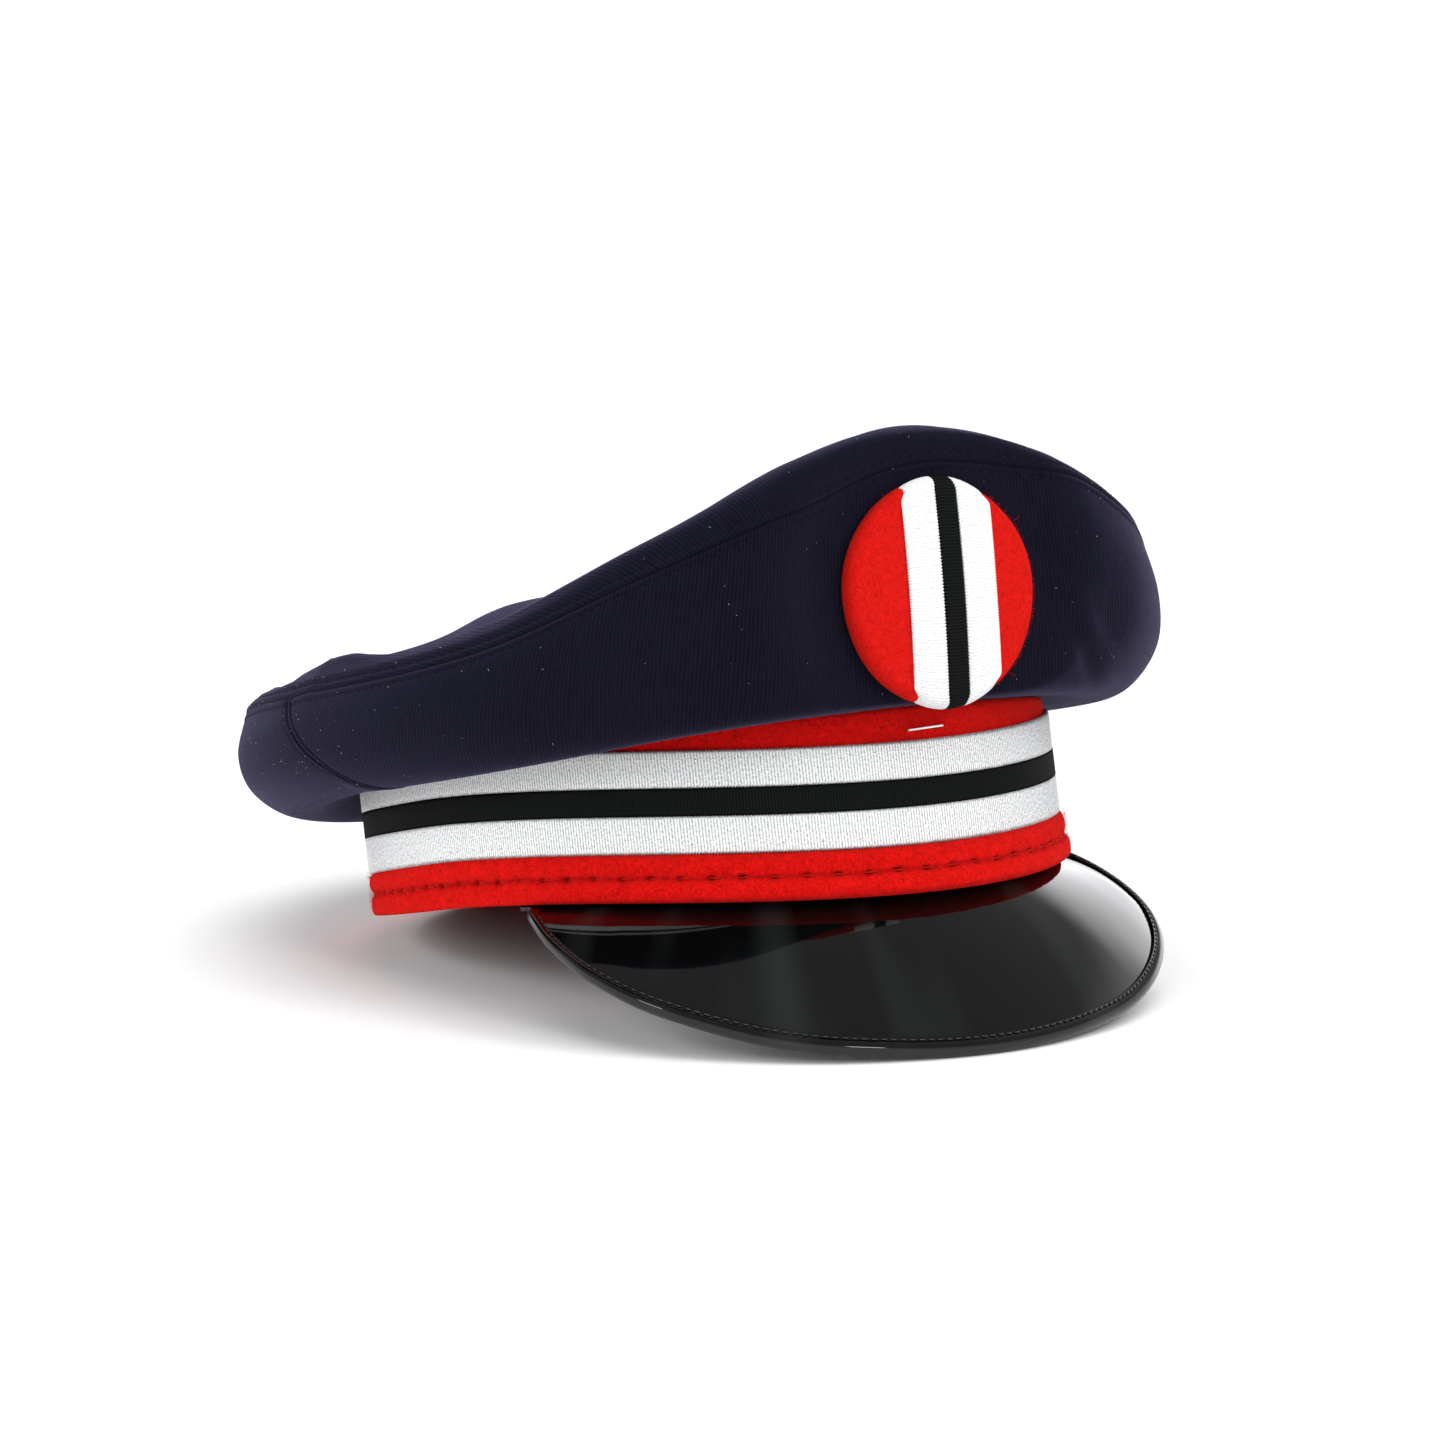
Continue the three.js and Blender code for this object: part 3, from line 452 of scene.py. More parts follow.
def round_the_band(out, height):
    """A path round the band, at heights and distances out that depend on the turn, and which way is out."""
    turns = fine_turns[::4]
    path = by_the_band(turns, out(turns), height(turns))
    return path, by_the_band(turns, 1, 0) - by_the_band(turns, 0, 0)


groove_path = round_the_band(
    lambda turn: ROLL_PUFF + front_flare(turn) * 0.75 - THREAD_DEPTH,
    lambda turn: (band_bottom(turn) + roll_top(turn)) / 2,
)
sewn(
    "roll_stitches", stitched_along(*groove_path, ROUND[-1] / stitches), ROLL_STITCH,
    thread("red_thread", (0.52, 0.006, 0.005)),
)

chance = np.random.default_rng(7)


def fibres(name, roots, ways, lengths, thickness, material):
    """Loose fibres: each is one thin tapered sliver. Roots and ways lie in the cap's frame."""
    turned = as_it_rests(np.concatenate([roots, roots + ways])).reshape(2, -1, 3)
    lays = []
    for root, tip, length in zip(*turned, lengths):
        way = Vector(tip - root).normalized()
        middle = Matrix.Translation(Vector(root) + way * length * (MILLIMETRE / 2))
        lay = middle @ way.to_track_quat("Z", "Y").to_matrix().to_4x4()
        size = (thickness * MILLIMETRE, thickness * MILLIMETRE, length * MILLIMETRE, 1)
        lays.append(lay @ Matrix.Diagonal(size))

    def sliver(bm, lay):
        bmesh.ops.create_cone(bm, segments=3, cap_ends=True, radius1=0.5, radius2=0.2, depth=1, matrix=lay)

    return gathered(name, sliver, lays, material)


def tousled(out, spread):
    """Outward directions, each turned at random."""
    return out / np.linalg.norm(out, axis=-1, keepdims=True) + chance.normal(0, spread, out.shape)


turns, shares = chance.uniform(-180, 180, FUZZ_FIBRES), chance.uniform(0.16, 1.0, FUZZ_FIBRES)
swell = np.sqrt(np.maximum(0, 1 - np.abs(shares - 0.5) * 2))
roots = by_the_band(
    turns, (ROLL_PUFF + front_flare(turns) * 0.8) * np.clip(swell * 3, 0.3, 1) - 0.5,
    band_bottom(turns) + (roll_top(turns) - band_bottom(turns)) * shares,
)
out = by_the_band(turns, 1, shares - 0.3) - by_the_band(turns, 0, 0)
ways, lengths = tousled(out, 0.5), chance.uniform(0.7, 1.7, FUZZ_FIBRES)
fibres("roll_fuzz", roots, ways, lengths, FUZZ_THICK, BAND_FELT)

# The ribbon: one grosgrain ribbon in three woven stripes, sewn round the band above the roll. Its ribs run
# Its ribs run across it and scallop its edges, and its colour is flecked with random specks, the brighter
# ones painted glints.
RIBBON_LIFT, RIBBON_THICK, WHITE_WIDTH, BLACK_WIDTH, RIB_PITCH = 0.3, 1.0, 9.5, 7.1, 0.78
RIBBON_WIDTH = 2 * WHITE_WIDTH + BLACK_WIDTH
STRIPE_GAP, RIB_SCALLOP, RIB_SWELL = 0.08, 0.36, 0.05
SEWING_INSET, SEWING_PITCH, RIBBON_STITCH = 2.2, 3.3, (2.8, 0.45, 0.4)
# The size of each dark spindle of painted hole shade, and the share of needle holes that get one.
HOLE_SHADE_SIZE, HOLE_SHADES_SHOWING = (0.4, 0.4, 0.3), 0.45


def grosgrain(name, dark, bright, speckle, shine=0.2):
    """Ribbed ribbon. The flat cloth's first length runs along the ribbon, and the ribs lie across it."""
    finish = Finish(name, bright, 0.6, shine)
    place = finish.node("UVMap")[0]
    split = finish.node("SeparateXYZ", {0: place})
    rib = finish.math("COSINE", finish.math("MULTIPLY", split[0], 2 * math.pi / RIB_PITCH))
    # Random specks in the colour; the brighter ones are painted glints.
    specks_and_painted_glints = finish.noise(place, 1.5, Detail=2.0, Roughness=0.8)
    mixed = finish.math("MULTIPLY_ADD", rib, 0.16, finish.math("MULTIPLY", specks_and_painted_glints, speckle))
    tint = finish.mix(finish.share(mixed, speckle * 0.5 - 0.26, speckle * 0.5 + 0.16), dark, bright)
    finish.colour(tint)
    finish.relief(mixed, 0.8, 0.00016)
    return finish.material


WHITE_GROSGRAIN = grosgrain("white_grosgrain", (0.30, 0.31, 0.32), (0.93, 0.94, 0.94), 0.9)
BLACK_GROSGRAIN = grosgrain(
    "black_grosgrain", (0.0012, 0.0013, 0.0013), (0.0085, 0.0098, 0.0098), 0.35, shine=0.03
)

RIBS_IN_WEDGE = 24
wedges = round(ROUND[-1] / RIB_PITCH / RIBS_IN_WEDGE)
ribs = RIBS_IN_WEDGE * wedges
RIBBON_RISE = np.array([0, 0.01, 0.05, 0.2, 0.4, 0.6, 0.8, 0.95, 0.99, 1, 1, 0.5, 0, 0])
RIBBON_DEPTH = np.array([0.3, 0.8, 1, 1, 1, 1, 1, 1, 0.8, 0.3, 0, 0, 0, 0.3])


def stripe_form(bottom, width):
    """The spun ring's radius is 1 at the ribbon's back and 2 at its face, and its height 0 to 1 up it."""

    def form(x, y, z):
        depth = np.hypot(x, y) - 1
        length, turn = length_and_turn(x, y)
        tooth = np.cos(length / ROUND[-1] * ribs * 2 * np.pi)
        edge = tooth * RIB_SCALLOP * (step(0.9, 0.99, z) - step(0.1, 0.01, z)) * (depth > 0.01)
        height = roll_top(turn) + bottom + STRIPE_GAP + z * (width - 2 * STRIPE_GAP) + edge
        out = RIBBON_LIFT + depth * (RIBBON_THICK + tooth * RIB_SWELL)
        return by_the_band(turn, out, height), length, z * width, 0

    return form


stripe_bottom = 0.0
for node_name, piece_name, width, material, slot in (
    ("ribbon_white_lower", "white_stripe_below", WHITE_WIDTH, WHITE_GROSGRAIN, "white_grosgrain"),
    ("ribbon_black", "black_stripe", BLACK_WIDTH, BLACK_GROSGRAIN, "black_grosgrain"),
    ("ribbon_white_upper", "white_stripe_above", WHITE_WIDTH, WHITE_GROSGRAIN, "white_grosgrain"),
):
    ring = spun_round(list(zip(RIBBON_DEPTH + 1, RIBBON_RISE)), wedges, RIBS_IN_WEDGE * 2)
    form = stripe_form(stripe_bottom, width)
    stripe = finished(piece_name, ring, form, material, once_round=ROUND[-1])
    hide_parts(node_name)
    stripe_bottom += width

WHITE_THREAD = thread("white_thread", (0.95, 0.95, 0.96))
# Painted shade: small dark spindles stand for the shade down in some of the needle holes beside the
# stitches.
PAINTED_HOLE_SHADE = thread("painted_hole_shade", (0.05, 0.05, 0.05))
for row_name, row_height in (("below", SEWING_INSET), ("above", RIBBON_WIDTH - SEWING_INSET)):
    path, out = round_the_band(lambda turn: 1.25 + 0 * turn, lambda turn: roll_top(turn) + row_height)
    row = stitched_along(path, out, SEWING_PITCH)
    sewn("ribbon_stitches_" + row_name, row, RIBBON_STITCH, WHITE_THREAD)
    holes = stitched_along(path, out, SEWING_PITCH, 1.0)
    keep = chance.random(len(holes[0])) < HOLE_SHADES_SHOWING
    hole_shades = [values[keep] for values in holes]
    sewn("painted_hole_shade_" + row_name, hole_shades, HOLE_SHADE_SIZE, PAINTED_HOLE_SHADE)

# The crown: a wide soft bag of navy cotton twill, cut as a top, one large front-and-side panel and a short
# back panel. The panels are turned in at their seams and topstitched two millimetres from them. Turns in
# these tables are in degrees from the front, or from 0 at the front to 1 at the back.
CROWN_WALL, OVERHANG, FRONT_RISE, DROOP, ROLL_UP, COLLAR = 1.6, 34, 59.2, 15, 11.6, 6
DISH, FOLD, PUFF, SWAY, SEAM_TURN, SEAM_SLANT, BEND, GAP = 15, 5, 6, 0.3, 97, 17, 0.8, 0.3
RIM = dict(
    turn=[0, 0.11, 0.2, 0.33, 0.5, 0.69, 0.85, 1],
    overhang=[0.6, 0.8, 0.92, 0.87, 0.8, 0.84, 0.9, 0.94],
    rise=[1, 0.9, 0.72, 0.46, 0.37, 0.28, 0.2, 0.16],
    droop=[0.14, 0.2, 0.28, 0.4, 0.46, 0.58, 0.74, 0.84],
    crest=[0.86, 0.74, 0.46, 0.22, 0.26, 0.5, 0.5, 0.38],
    inset=[0.42, 0.42, 0.4, 0.38, 0.36, 0.36, 0.38, 0.4],
    puff=[0, 0.2, 0.5, 0.8, 0.7, 0.86, 0.8, 0.8],
)
PANEL = dict(
    level=[0, 0.08, 0.16, 0.28, 0.44, 0.62, 0.8, 1],
    front_out=[0, 0.18, 0.42, 0.68, 0.86, 0.96, 1, 1],
    front_up=[0, 0.01, 0, 0.06, 0.24, 0.48, 0.75, 1],
    back_out=[0, 0.13, 0.22, 0.44, 0.7, 0.91, 1.02, 1],
    back_up=[0, 0.03, 0, 0, 0, 0.14, 0.52, 1],
    hang=[0, 0.04, 0.55, 0.98, 0.92, 0.5, 0.18, 0],
    swell=[0, 0, 0.05, 0.25, 0.55, 0.95, 0.75, 0],
)
TOP = dict(
    level=[0, 0.12, 0.26, 0.4, 0.55, 0.7, 0.85, 1],
    inset=[0, 0.1, 0.46, 1, 1, 1, 1, 1],
    up=[0, 0.48, 0.9, 1, 1, 1, 1, 1],
    reach=[1, 1, 1, 1, 0.8, 0.58, 0.3, 0],
    sag=[0, 0, 0, 0, 0.32, 0.72, 0.95, 1],
)
FOLDS = dict(
    turn=[26, 31, -112, -138, -160, 118, 150, 0],
    level=[0.5, 0.22, 1.44, 1.36, 1.26, 1.46, 1.42, 1.56],
    wide=[5, 5, 12, 10, 8, 16, 12, 30],
    tall=[0.22, 0.12, 0.1, 0.1, 0.1, 0.12, 0.1, 0.12],
    depth=[0.45, 0.5, 0.7, 0.45, -0.3, 0.6, 0.4, 0.8],
)
PUCKERS = dict(
    turn=[-87, -79, -70, -52, 44, -128, -104, 100, 128, 60],
    level=[1.3, 1.44, 1.6, 1.24, 0.3, 1.34, 1.22, 1.3, 1.24, 1.4],
    wide=[8, 5, 15, 14, 6, 4, 4, 5, 4, 7],
    tall=[0.12, 0.08, 0.1, 0.07, 0.1, 0.08, 0.08, 0.09, 0.08, 0.1],
    depth=[-0.75, 0.45, -0.9, -0.25, -0.45, -0.25, 0.22, -0.3, -0.25, 0.3],
)
RIM_FULLNESS = dict(
    turn=[-128, 128, 57],
    level=[1.02, 1.02, 1.02],
    wide=[34, 34, 30],
    tall=[0.16, 0.16, 0.14],
    out=[1.7, 1.6, 0.8],
)
CREASES = (
    ((14, 18, 22, 27, 31, 33), (0.64, 0.58, 0.48, 0.36, 0.26, 0.18), 1.5, 0.035, 0.36),
    ((20, 25, 30, 35), (0.62, 0.5, 0.38, 0.26), 2.4, 0.05, -0.24),
    ((17, 23, 29), (0.17, 0.2, 0.25), 2.0, 0.03, -0.34),
    ((-114, -102, -90), (1.18, 1.25, 1.21), 2.2, 0.03, -0.16),
    ((-94, -80, -66, -50), (1.1, 1.15, 1.17, 1.15), 2.4, 0.028, 0.16),
    ((-86, -72, -58, -44), (1.22, 1.2, 1.23, 1.2), 3.0, 0.03, -0.15),
    ((-104, -94, -84), (1.36, 1.3, 1.33), 2.4, 0.03, 0.15),
    ((96, 112, 126), (1.16, 1.22, 1.19), 2.6, 0.03, 0.15),
    ((150, 166, 184), (1.2, 1.15, 1.19), 3.0, 0.03, -0.15),
)
RIM_SEAM = dict(
    turn=[-180, -122, -93, -19, -4, 12, 24, 33, 60, 93, 122, 180],
    level=[1, 1, 0.91, 0.91, 0.97, 1.02, 1.05, 1.02, 0.93, 0.91, 1, 1],
)
BADGE_RADIUS, BADGE_HEIGHT, BADGE_FORWARD, BADGE_LEAN = 28.6, 64.8, 14, math.radians(4.6)
PRESS_CLEAR, PRESS_FADE = 6, 30
BADGE_BACK = np.array([0, -HALF_LENGTH - BADGE_FORWARD, BADGE_HEIGHT])
BADGE_UP = np.array([0, -math.sin(BADGE_LEAN), math.cos(BADGE_LEAN)])
BADGE_FACING = np.array([0, -math.cos(BADGE_LEAN), -math.sin(BADGE_LEAN)])


def follow(table, value):
    """Smooth curves through a table's columns, level at both ends, at a value of its first column."""
    first, *columns = table
    x = np.array(table[first], float)
    k = np.clip(np.searchsorted(x, value) - 1, 0, len(x) - 2)
    span = x[k + 1] - x[k]
    t = np.clip((value - x[k]) / span, 0, 1)
    curves = {}
    for column in columns:
        y = np.array(table[column], float)
        slope = np.zeros(len(x))
        slope[1:-1] = (y[2:] - y[:-2]) / (x[2:] - x[:-2])
        curves[column] = (
            (2 * t**3 - 3 * t**2 + 1) * y[k] + (t**3 - 2 * t**2 + t) * span * slope[k]
            + (3 * t**2 - 2 * t**3) * y[k + 1] + (t**3 - t**2) * span * slope[k + 1]
        )
    return curves


def pressed(points):
    """The badge presses the soft crown flat behind it, and the dent fades out round its rim."""
    offset = points - BADGE_BACK
    ahead = offset @ BADGE_FACING
    away = np.linalg.norm(offset - ahead[..., None] * BADGE_FACING, axis=-1) - BADGE_RADIUS
    push = np.maximum(0, ahead + GAP) * (1 - step(PRESS_CLEAR, PRESS_FADE, away))
    return points - push[..., None] * BADGE_FACING


def creased(turn, level, crease):
    """The dent of one crease, a row of CREASES: the turns and the levels that it runs through, how wide
    it is in turn and how tall in level, and its depth."""
    close = np.zeros(turn.shape)
    turns, levels, wide, tall, depth = crease
    corners = np.stack([np.array(turns) / wide, np.array(levels) / tall], -1)
    for start, end in zip(corners, corners[1:]):
        x, y = turn / wide - start[0], level / tall - start[1]
        run = end - start
        along = np.clip((x * run[0] + y * run[1]) / (run @ run), 0, 1)
        close = np.maximum(close, np.exp(-((x - along * run[0]) ** 2) - (y - along * run[1]) ** 2))
    return depth * close


def swollen(table, turn, level):
    """The sum of a table's soft swellings, each round its own turn and level."""
    return sum(
        out * np.exp(-(((turn - t) / wide) ** 2) - ((level - v) / tall) ** 2)
        for t, v, wide, tall, out in zip(*table.values())
    )


def crest_height(row, turn):
    """The height of the rim's crest, at a row of the table RIM."""
    return float(band_top(turn)) + GAP + BEND + FRONT_RISE * RIM["rise"][row] + ROLL_UP * RIM["crest"][row]


TOP_MIDDLE = (crest_height(0, 0) + crest_height(-1, 180)) / 2
TOP_SLOPE = (crest_height(0, 0) - crest_height(-1, 180)) / 2


def crown_point(turn, level):
    """The crown's outside: level -1 is inside the band, 0 the felt's top edge, 1 the rim, 2 the middle."""
    turn, level = np.broadcast_arrays(np.asarray(turn, float), np.asarray(level, float))
    around = (turn + 540) % 360 - 180
    share = np.abs(around) / 180
    on_rim = follow(RIM, share)
    on_panel = follow(PANEL, np.clip(level, 0, 1))
    on_top = follow(TOP, np.clip(level - 1, 0, 1))
    overhang = OVERHANG * on_rim["overhang"]
    rise = FRONT_RISE * on_rim["rise"]
    droop = DROOP * on_rim["droop"] * (1 - SWAY * np.sin(np.radians(turn)))
    top = band_top(turn) + GAP
    collar = -(WALL + GAP)
    dent = swollen(FOLDS, around, level) + swollen(PUCKERS, around, level)
    dent = FOLD * (dent + sum(creased(around, level, crease) for crease in CREASES))
    back = step(0, 1, share)
    out = on_panel["front_out"] + (on_panel["back_out"] - on_panel["front_out"]) * back
    up = on_panel["front_up"] + (on_panel["back_up"] - on_panel["front_up"]) * back
    out = collar + (overhang - collar) * out
    out = out + (PUFF * on_rim["puff"] - dent) * on_panel["swell"]
    bend = BEND * np.clip(level / PANEL["level"][1], 0, 1) + COLLAR * np.minimum(level, 0)
    side = pressed(by_the_band(turn, out, top + bend + rise * up - droop * on_panel["hang"]))
    inset = OVERHANG * on_rim["inset"] * on_top["inset"]
    edge = by_the_band(turn, overhang - inset, 0)
    reach, up = on_top["reach"], on_top["up"]
    slope = TOP_SLOPE * np.cos(np.radians(turn))
    crest = top + BEND + rise + ROLL_UP * on_rim["crest"] * up
    sag = DISH * on_top["sag"] + dent * up
    height = TOP_MIDDLE + slope * reach + (crest - TOP_MIDDLE - slope) * reach**3 - sag
    lid = pressed(np.stack([edge[..., 0] * reach, edge[..., 1] * reach, height], -1))
    full = swollen(RIM_FULLNESS, around, level) * 0.7
    fullness = by_the_band(turn, full, full) - by_the_band(turn, 0, 0)
    return np.where((level > 1)[..., None], lid, side) + fullness


def back_seam(level):
    """The turn at which the back panel's upright seam runs, on the cap's left."""
    return SEAM_TURN - SEAM_SLANT * (1 - step(0, 1, level))


def rim_level(turn):
    """The level at which the rim's seam runs."""
    return follow(RIM_SEAM, (turn + 540) % 360 - 180)["level"]


def outward(points):
    """Which way is out, at each point of a grid that runs left to right and bottom to top."""
    normal = np.cross(np.gradient(points, axis=1), np.gradient(points, axis=0))
    return normal / np.maximum(np.linalg.norm(normal, axis=-1, keepdims=True), 1e-9)


def twill(name):
    """Navy cotton with fine ribs, faintly streaked, darkened with painted shade along its seams and lower
    edge. On the side panels the ribs stand upright, and on the top they run from front to back."""
    finish = Finish(name, (0.006, 0.006, 0.013), 0.85, 0.03)
    place = finish.node("UVMap")[0]
    split = finish.node("SeparateXYZ", {0: place})
    wander = finish.noise(place, 0.11, Detail=2.0)
    moved = finish.math("MULTIPLY_ADD", wander, 0.9, split[0])
    rib = finish.math("SINE", finish.math("MULTIPLY", moved, 2 * math.pi / 0.95))
    drawn_out = finish.node("Mapping", {0: place, "Scale": (1.9, 0.16, 1)})[0]
    streak = finish.noise(drawn_out, 1.0, Detail=3.0, Roughness=0.75)
    cloud = finish.noise(place, 0.045, Detail=3.0)
    mixed = finish.math("MULTIPLY_ADD", rib, 0.21, streak)
    tint = finish.mix(finish.share(mixed, 0.15, 0.85), (0.0018, 0.0018, 0.0046), (0.0078, 0.0078, 0.0155))
    tint = finish.mix(finish.share(cloud, 0.35, 0.75, 0.0, 0.4), tint, (0.0066, 0.0064, 0.0140))
    # Painted shade: a darker navy where the piece's shade attribute is high.
    finish.shaded(tint, (0.0015, 0.0015, 0.003))
    finish.relief(mixed, 0.55, 0.00022)
    finish.set(**{"Sheen Weight": 0.17, "Sheen Roughness": 0.40, "Sheen Tint": (0.56, 0.51, 0.95, 1)})
    return finish.material


NAVY_TWILL = twill("navy_twill")
NAVY_THREAD = thread("navy_thread", (0.008, 0.008, 0.02))
FROM_SEAM = np.array([-0.5, 0, 0.15, 0.35, 0.6, 0.9, 1.3, 1.8, 2.2, 2.6, 3.1, 3.8, 4.8])
STITCH_ROW, TOPSTITCH_PITCH, TOPSTITCH = 2.2, 3.0, (2.3, 0.4, 0.5)
STITCH_AT = list(FROM_SEAM).index(STITCH_ROW)
FLARE, CUT_RADIUS, SEAM_REACH, ROWS = 0.36, 330, 110, 56


def turned_in(distance):
    """How far the cloth lies off its smooth form, at a distance from a seam: the turned edge dips into the
    seam, the turning under it stands up a little, and the topstitching pulls it down again."""
    dip = -0.25 * np.exp(-((np.maximum(distance, 0) / 0.4) ** 2)) + 1.2 * np.minimum(distance, 0)
    welt = 0.20 * np.exp(-(((distance - 1.2) / 0.6) ** 2))
    stitch = -0.20 * np.exp(-(((distance - STITCH_ROW) / 0.35) ** 2))
    return dip + welt + stitch


def seam_shade(distance):
    """The painted shade: a dark line down in the seam and a faint one under the topstitching."""
    return 0.8 * np.exp(-((distance / 0.25) ** 2)) + 0.25 * np.exp(-(((distance - STITCH_ROW) / 0.3) ** 2))


def towards_seam(turns, start, seam):
    """Levels of each column from start to the seam, the last rows at the FROM_SEAM distances from it."""
    fine = np.linspace(start, seam + 0.02 * np.sign(seam - start), 500)
    path = crown_point(turns[None, :], fine)
    lengths = np.linalg.norm(np.diff(path, axis=0), axis=-1)
    walked = np.concatenate([np.zeros((1, len(turns))), np.cumsum(lengths, axis=0)])
    levels = np.empty((ROWS - 1 + len(FROM_SEAM), len(turns)))
    distances = np.empty_like(levels)
    for column in range(len(turns)):
        way = np.sign(fine[-1, column] - fine[0, column])
        at_seam = np.interp(way * seam[column], way * fine[:, column], walked[:, column])
        rest = np.linspace(at_seam, FROM_SEAM[-1], ROWS)[:-1]
        distances[:, column] = np.concatenate([rest, FROM_SEAM[::-1]])
        levels[:, column] = np.interp(at_seam - distances[:, column], walked[:, column], fine[:, column])
    return levels, distances


def laid(name, points, across, along, material, slot, shade=0.0, wall=0):
    """A flat sheet laid over rows and columns of points, with its lengths across and along the cloth."""
    rows, columns = points.shape[:2]
    cloth = [points, *(np.broadcast_to(values, (rows, columns)) for values in (across, along, shade))]

    def form(x, y, z):
        column = np.rint((x + 1) / 2 * (columns - 1)).astype(int)
        row = np.rint((y + 1) / 2 * (rows - 1)).astype(int)
        return tuple(values[row, column] for values in cloth)

    bm = bmesh.new()
    bmesh.ops.create_grid(bm, x_segments=columns - 1, y_segments=rows - 1, size=1)
    return finished(name, bm, form, material, wall)


def side_panel(name, node_name, first, last, count):
    """A side panel between two upright seams, from inside the band to the rim's seam. Gives the paths of
    its topstitching, each with its outward directions."""
    half_round = SEAM_REACH * math.radians(last(1) - first(1)) / 2
    near = 1 - FROM_SEAM / half_round
    shares = np.concatenate([-near, np.linspace(-near[-1], near[-1], count)[1:-1], near[::-1]])
    straight = first(1) + (shares + 1) / 2 * (last(1) - first(1))
    levels, from_rim = towards_seam(straight, np.full(len(shares), -1.0), rim_level(straight))
    turns = first(levels) + (shares[None, :] + 1) / 2 * (last(levels) - first(levels))
    points = crown_point(turns, levels)
    out = outward(points)
    from_sides = half_round * (1 - np.abs(shares))[None, :] + 0 * levels
    lift = turned_in(from_rim) + turned_in(from_sides) * step(-0.2, 0.1, levels)
    points = points + lift[..., None] * out
    # Painted shade: darker down the seams and under the topstitching, and along the lower edge where the
    # cloth turns under into the band.
    shade = seam_shade(from_rim) + seam_shade(from_sides) + 0.8 * np.exp(-((levels / 0.07) ** 2))
    fan = np.radians(turns - (first(1) + last(1)) / 2) * FLARE
    reach = CUT_RADIUS - from_rim
    flat = (reach * np.sin(fan), reach * np.cos(fan))
    panel = laid(name, points, *flat, NAVY_TWILL, "navy_twill", np.clip(shade, 0, 1), CROWN_WALL)
    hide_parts(node_name)
    row = len(levels) - 1 - STITCH_AT
    above = levels[:, STITCH_AT] > 0.06
    paths = [(points[row, STITCH_AT:-STITCH_AT], out[row, STITCH_AT:-STITCH_AT])]
    for end in (STITCH_AT, -1 - STITCH_AT):
        paths.append((points[above, end][:row], out[above, end][:row]))
    return paths


paths = side_panel("front_and_side_panel", "crown_front_side", lambda v: -back_seam(v), back_seam, 330)
paths += side_panel("back_panel", "crown_back", back_seam, lambda v: 360 - back_seam(v), 260)

turns = np.linspace(-180, 180, 481)
levels, from_rim = towards_seam(turns, np.full(len(turns), 1.9999), rim_level(turns))
points = crown_point(turns[None, :], levels)
out = -outward(points)
points = points + turned_in(from_rim)[..., None] * out
points[0] = points[0].mean(axis=0)
from_middle = (from_rim[0] - from_rim)[::-1]
flat = (from_middle * np.sin(np.radians(turns)), from_middle * np.cos(np.radians(turns)))
# Painted shade along the rim's seam and under its topstitching.
shade = np.clip(seam_shade(from_rim), 0, 1)[::-1]
top = laid("top_panel", points[::-1], *flat, NAVY_TWILL, "navy_twill", shade, CROWN_WALL)
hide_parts("crown_top")
row = len(levels) - 1 - STITCH_AT
paths.append((points[row], out[row]))
for k, (path, out) in enumerate(paths):
    row = stitched_along(path, out, TOPSTITCH_PITCH)
    sewn("crown_topstitching_" + str(k + 1), row, TOPSTITCH, NAVY_THREAD)

LINT_AT_BACK, LINT_IN_FRONT, LINT_THICK = 173, 87, 0.12
LINT = thread("lint", (0.55, 0.55, 0.6))
turns = np.concatenate([chance.uniform(-135, -80, LINT_AT_BACK), chance.uniform(-80, 60, LINT_IN_FRONT)])
levels = chance.uniform(0.25, 1.3, len(turns))
roots = crown_point(turns, levels) + 0.1 * (by_the_band(turns, 1, 0.6) - by_the_band(turns, 0, 0))
ways, lengths = chance.normal(0, 1, roots.shape), chance.uniform(0.25, 0.7, len(turns))
fibres("lint", roots, ways, lengths, LINT_THICK, LINT)

# The visor: moulded board covered in black patent, sewn inside the band's front and steeply turned down.
# Soft lighter and darker streaks that run down it are painted reflections in its colour.
VISOR_THICK, VISOR_REACH, VISOR_DROP, VISOR_ROOT, VISOR_ARCH, VISOR_STUB = 1.6, 23, 41.6, 7, 2.6, 0.6
VISOR_EDGE = dict(
    turn=[0, 0.20, 0.42, 0.62, 0.74, 0.84, 0.93, 1],
    reach=[0.96, 0.97, 1.02, 1.05, 0.95, 0.70, 0.34, 0.02],
    drop=[1, 0.97, 0.87, 0.65, 0.45, 0.25, 0.07, 0],
)
EDGING_HALF_TURN, EDGING_BITE = 66, 2.4


def visor_depth(turn):
    """How far it is down the visor, from the band's lower edge to the free edge."""
    return np.linalg.norm(visor_point(turn, 1) - visor_point(turn, 0), axis=-1)


def visor_point(turn, level):
    """The visor's upper side: level -1 is inside the band, 0 its lower edge and 1 the visor's free edge."""
    turn, level = np.broadcast_arrays(np.asarray(turn, float), np.asarray(level, float))
    edge = follow(VISOR_EDGE, np.abs(turn) / VISOR_HALF_TURN)
    low = band_bottom(turn)
    root = -(WALL + GAP)
    reach = root + (VISOR_REACH - root) * edge["reach"]
    drop = VISOR_DROP * edge["drop"]
    down = np.maximum(level, 0)
    swell = VISOR_ARCH * 4 * down * (1 - down) * np.minimum(1, drop / (VISOR_DROP / 2))
    out = root + (reach - root) * down + swell
    return by_the_band(turn, out, low - drop * down + swell * 0.5 - np.minimum(level, 0) * VISOR_ROOT)


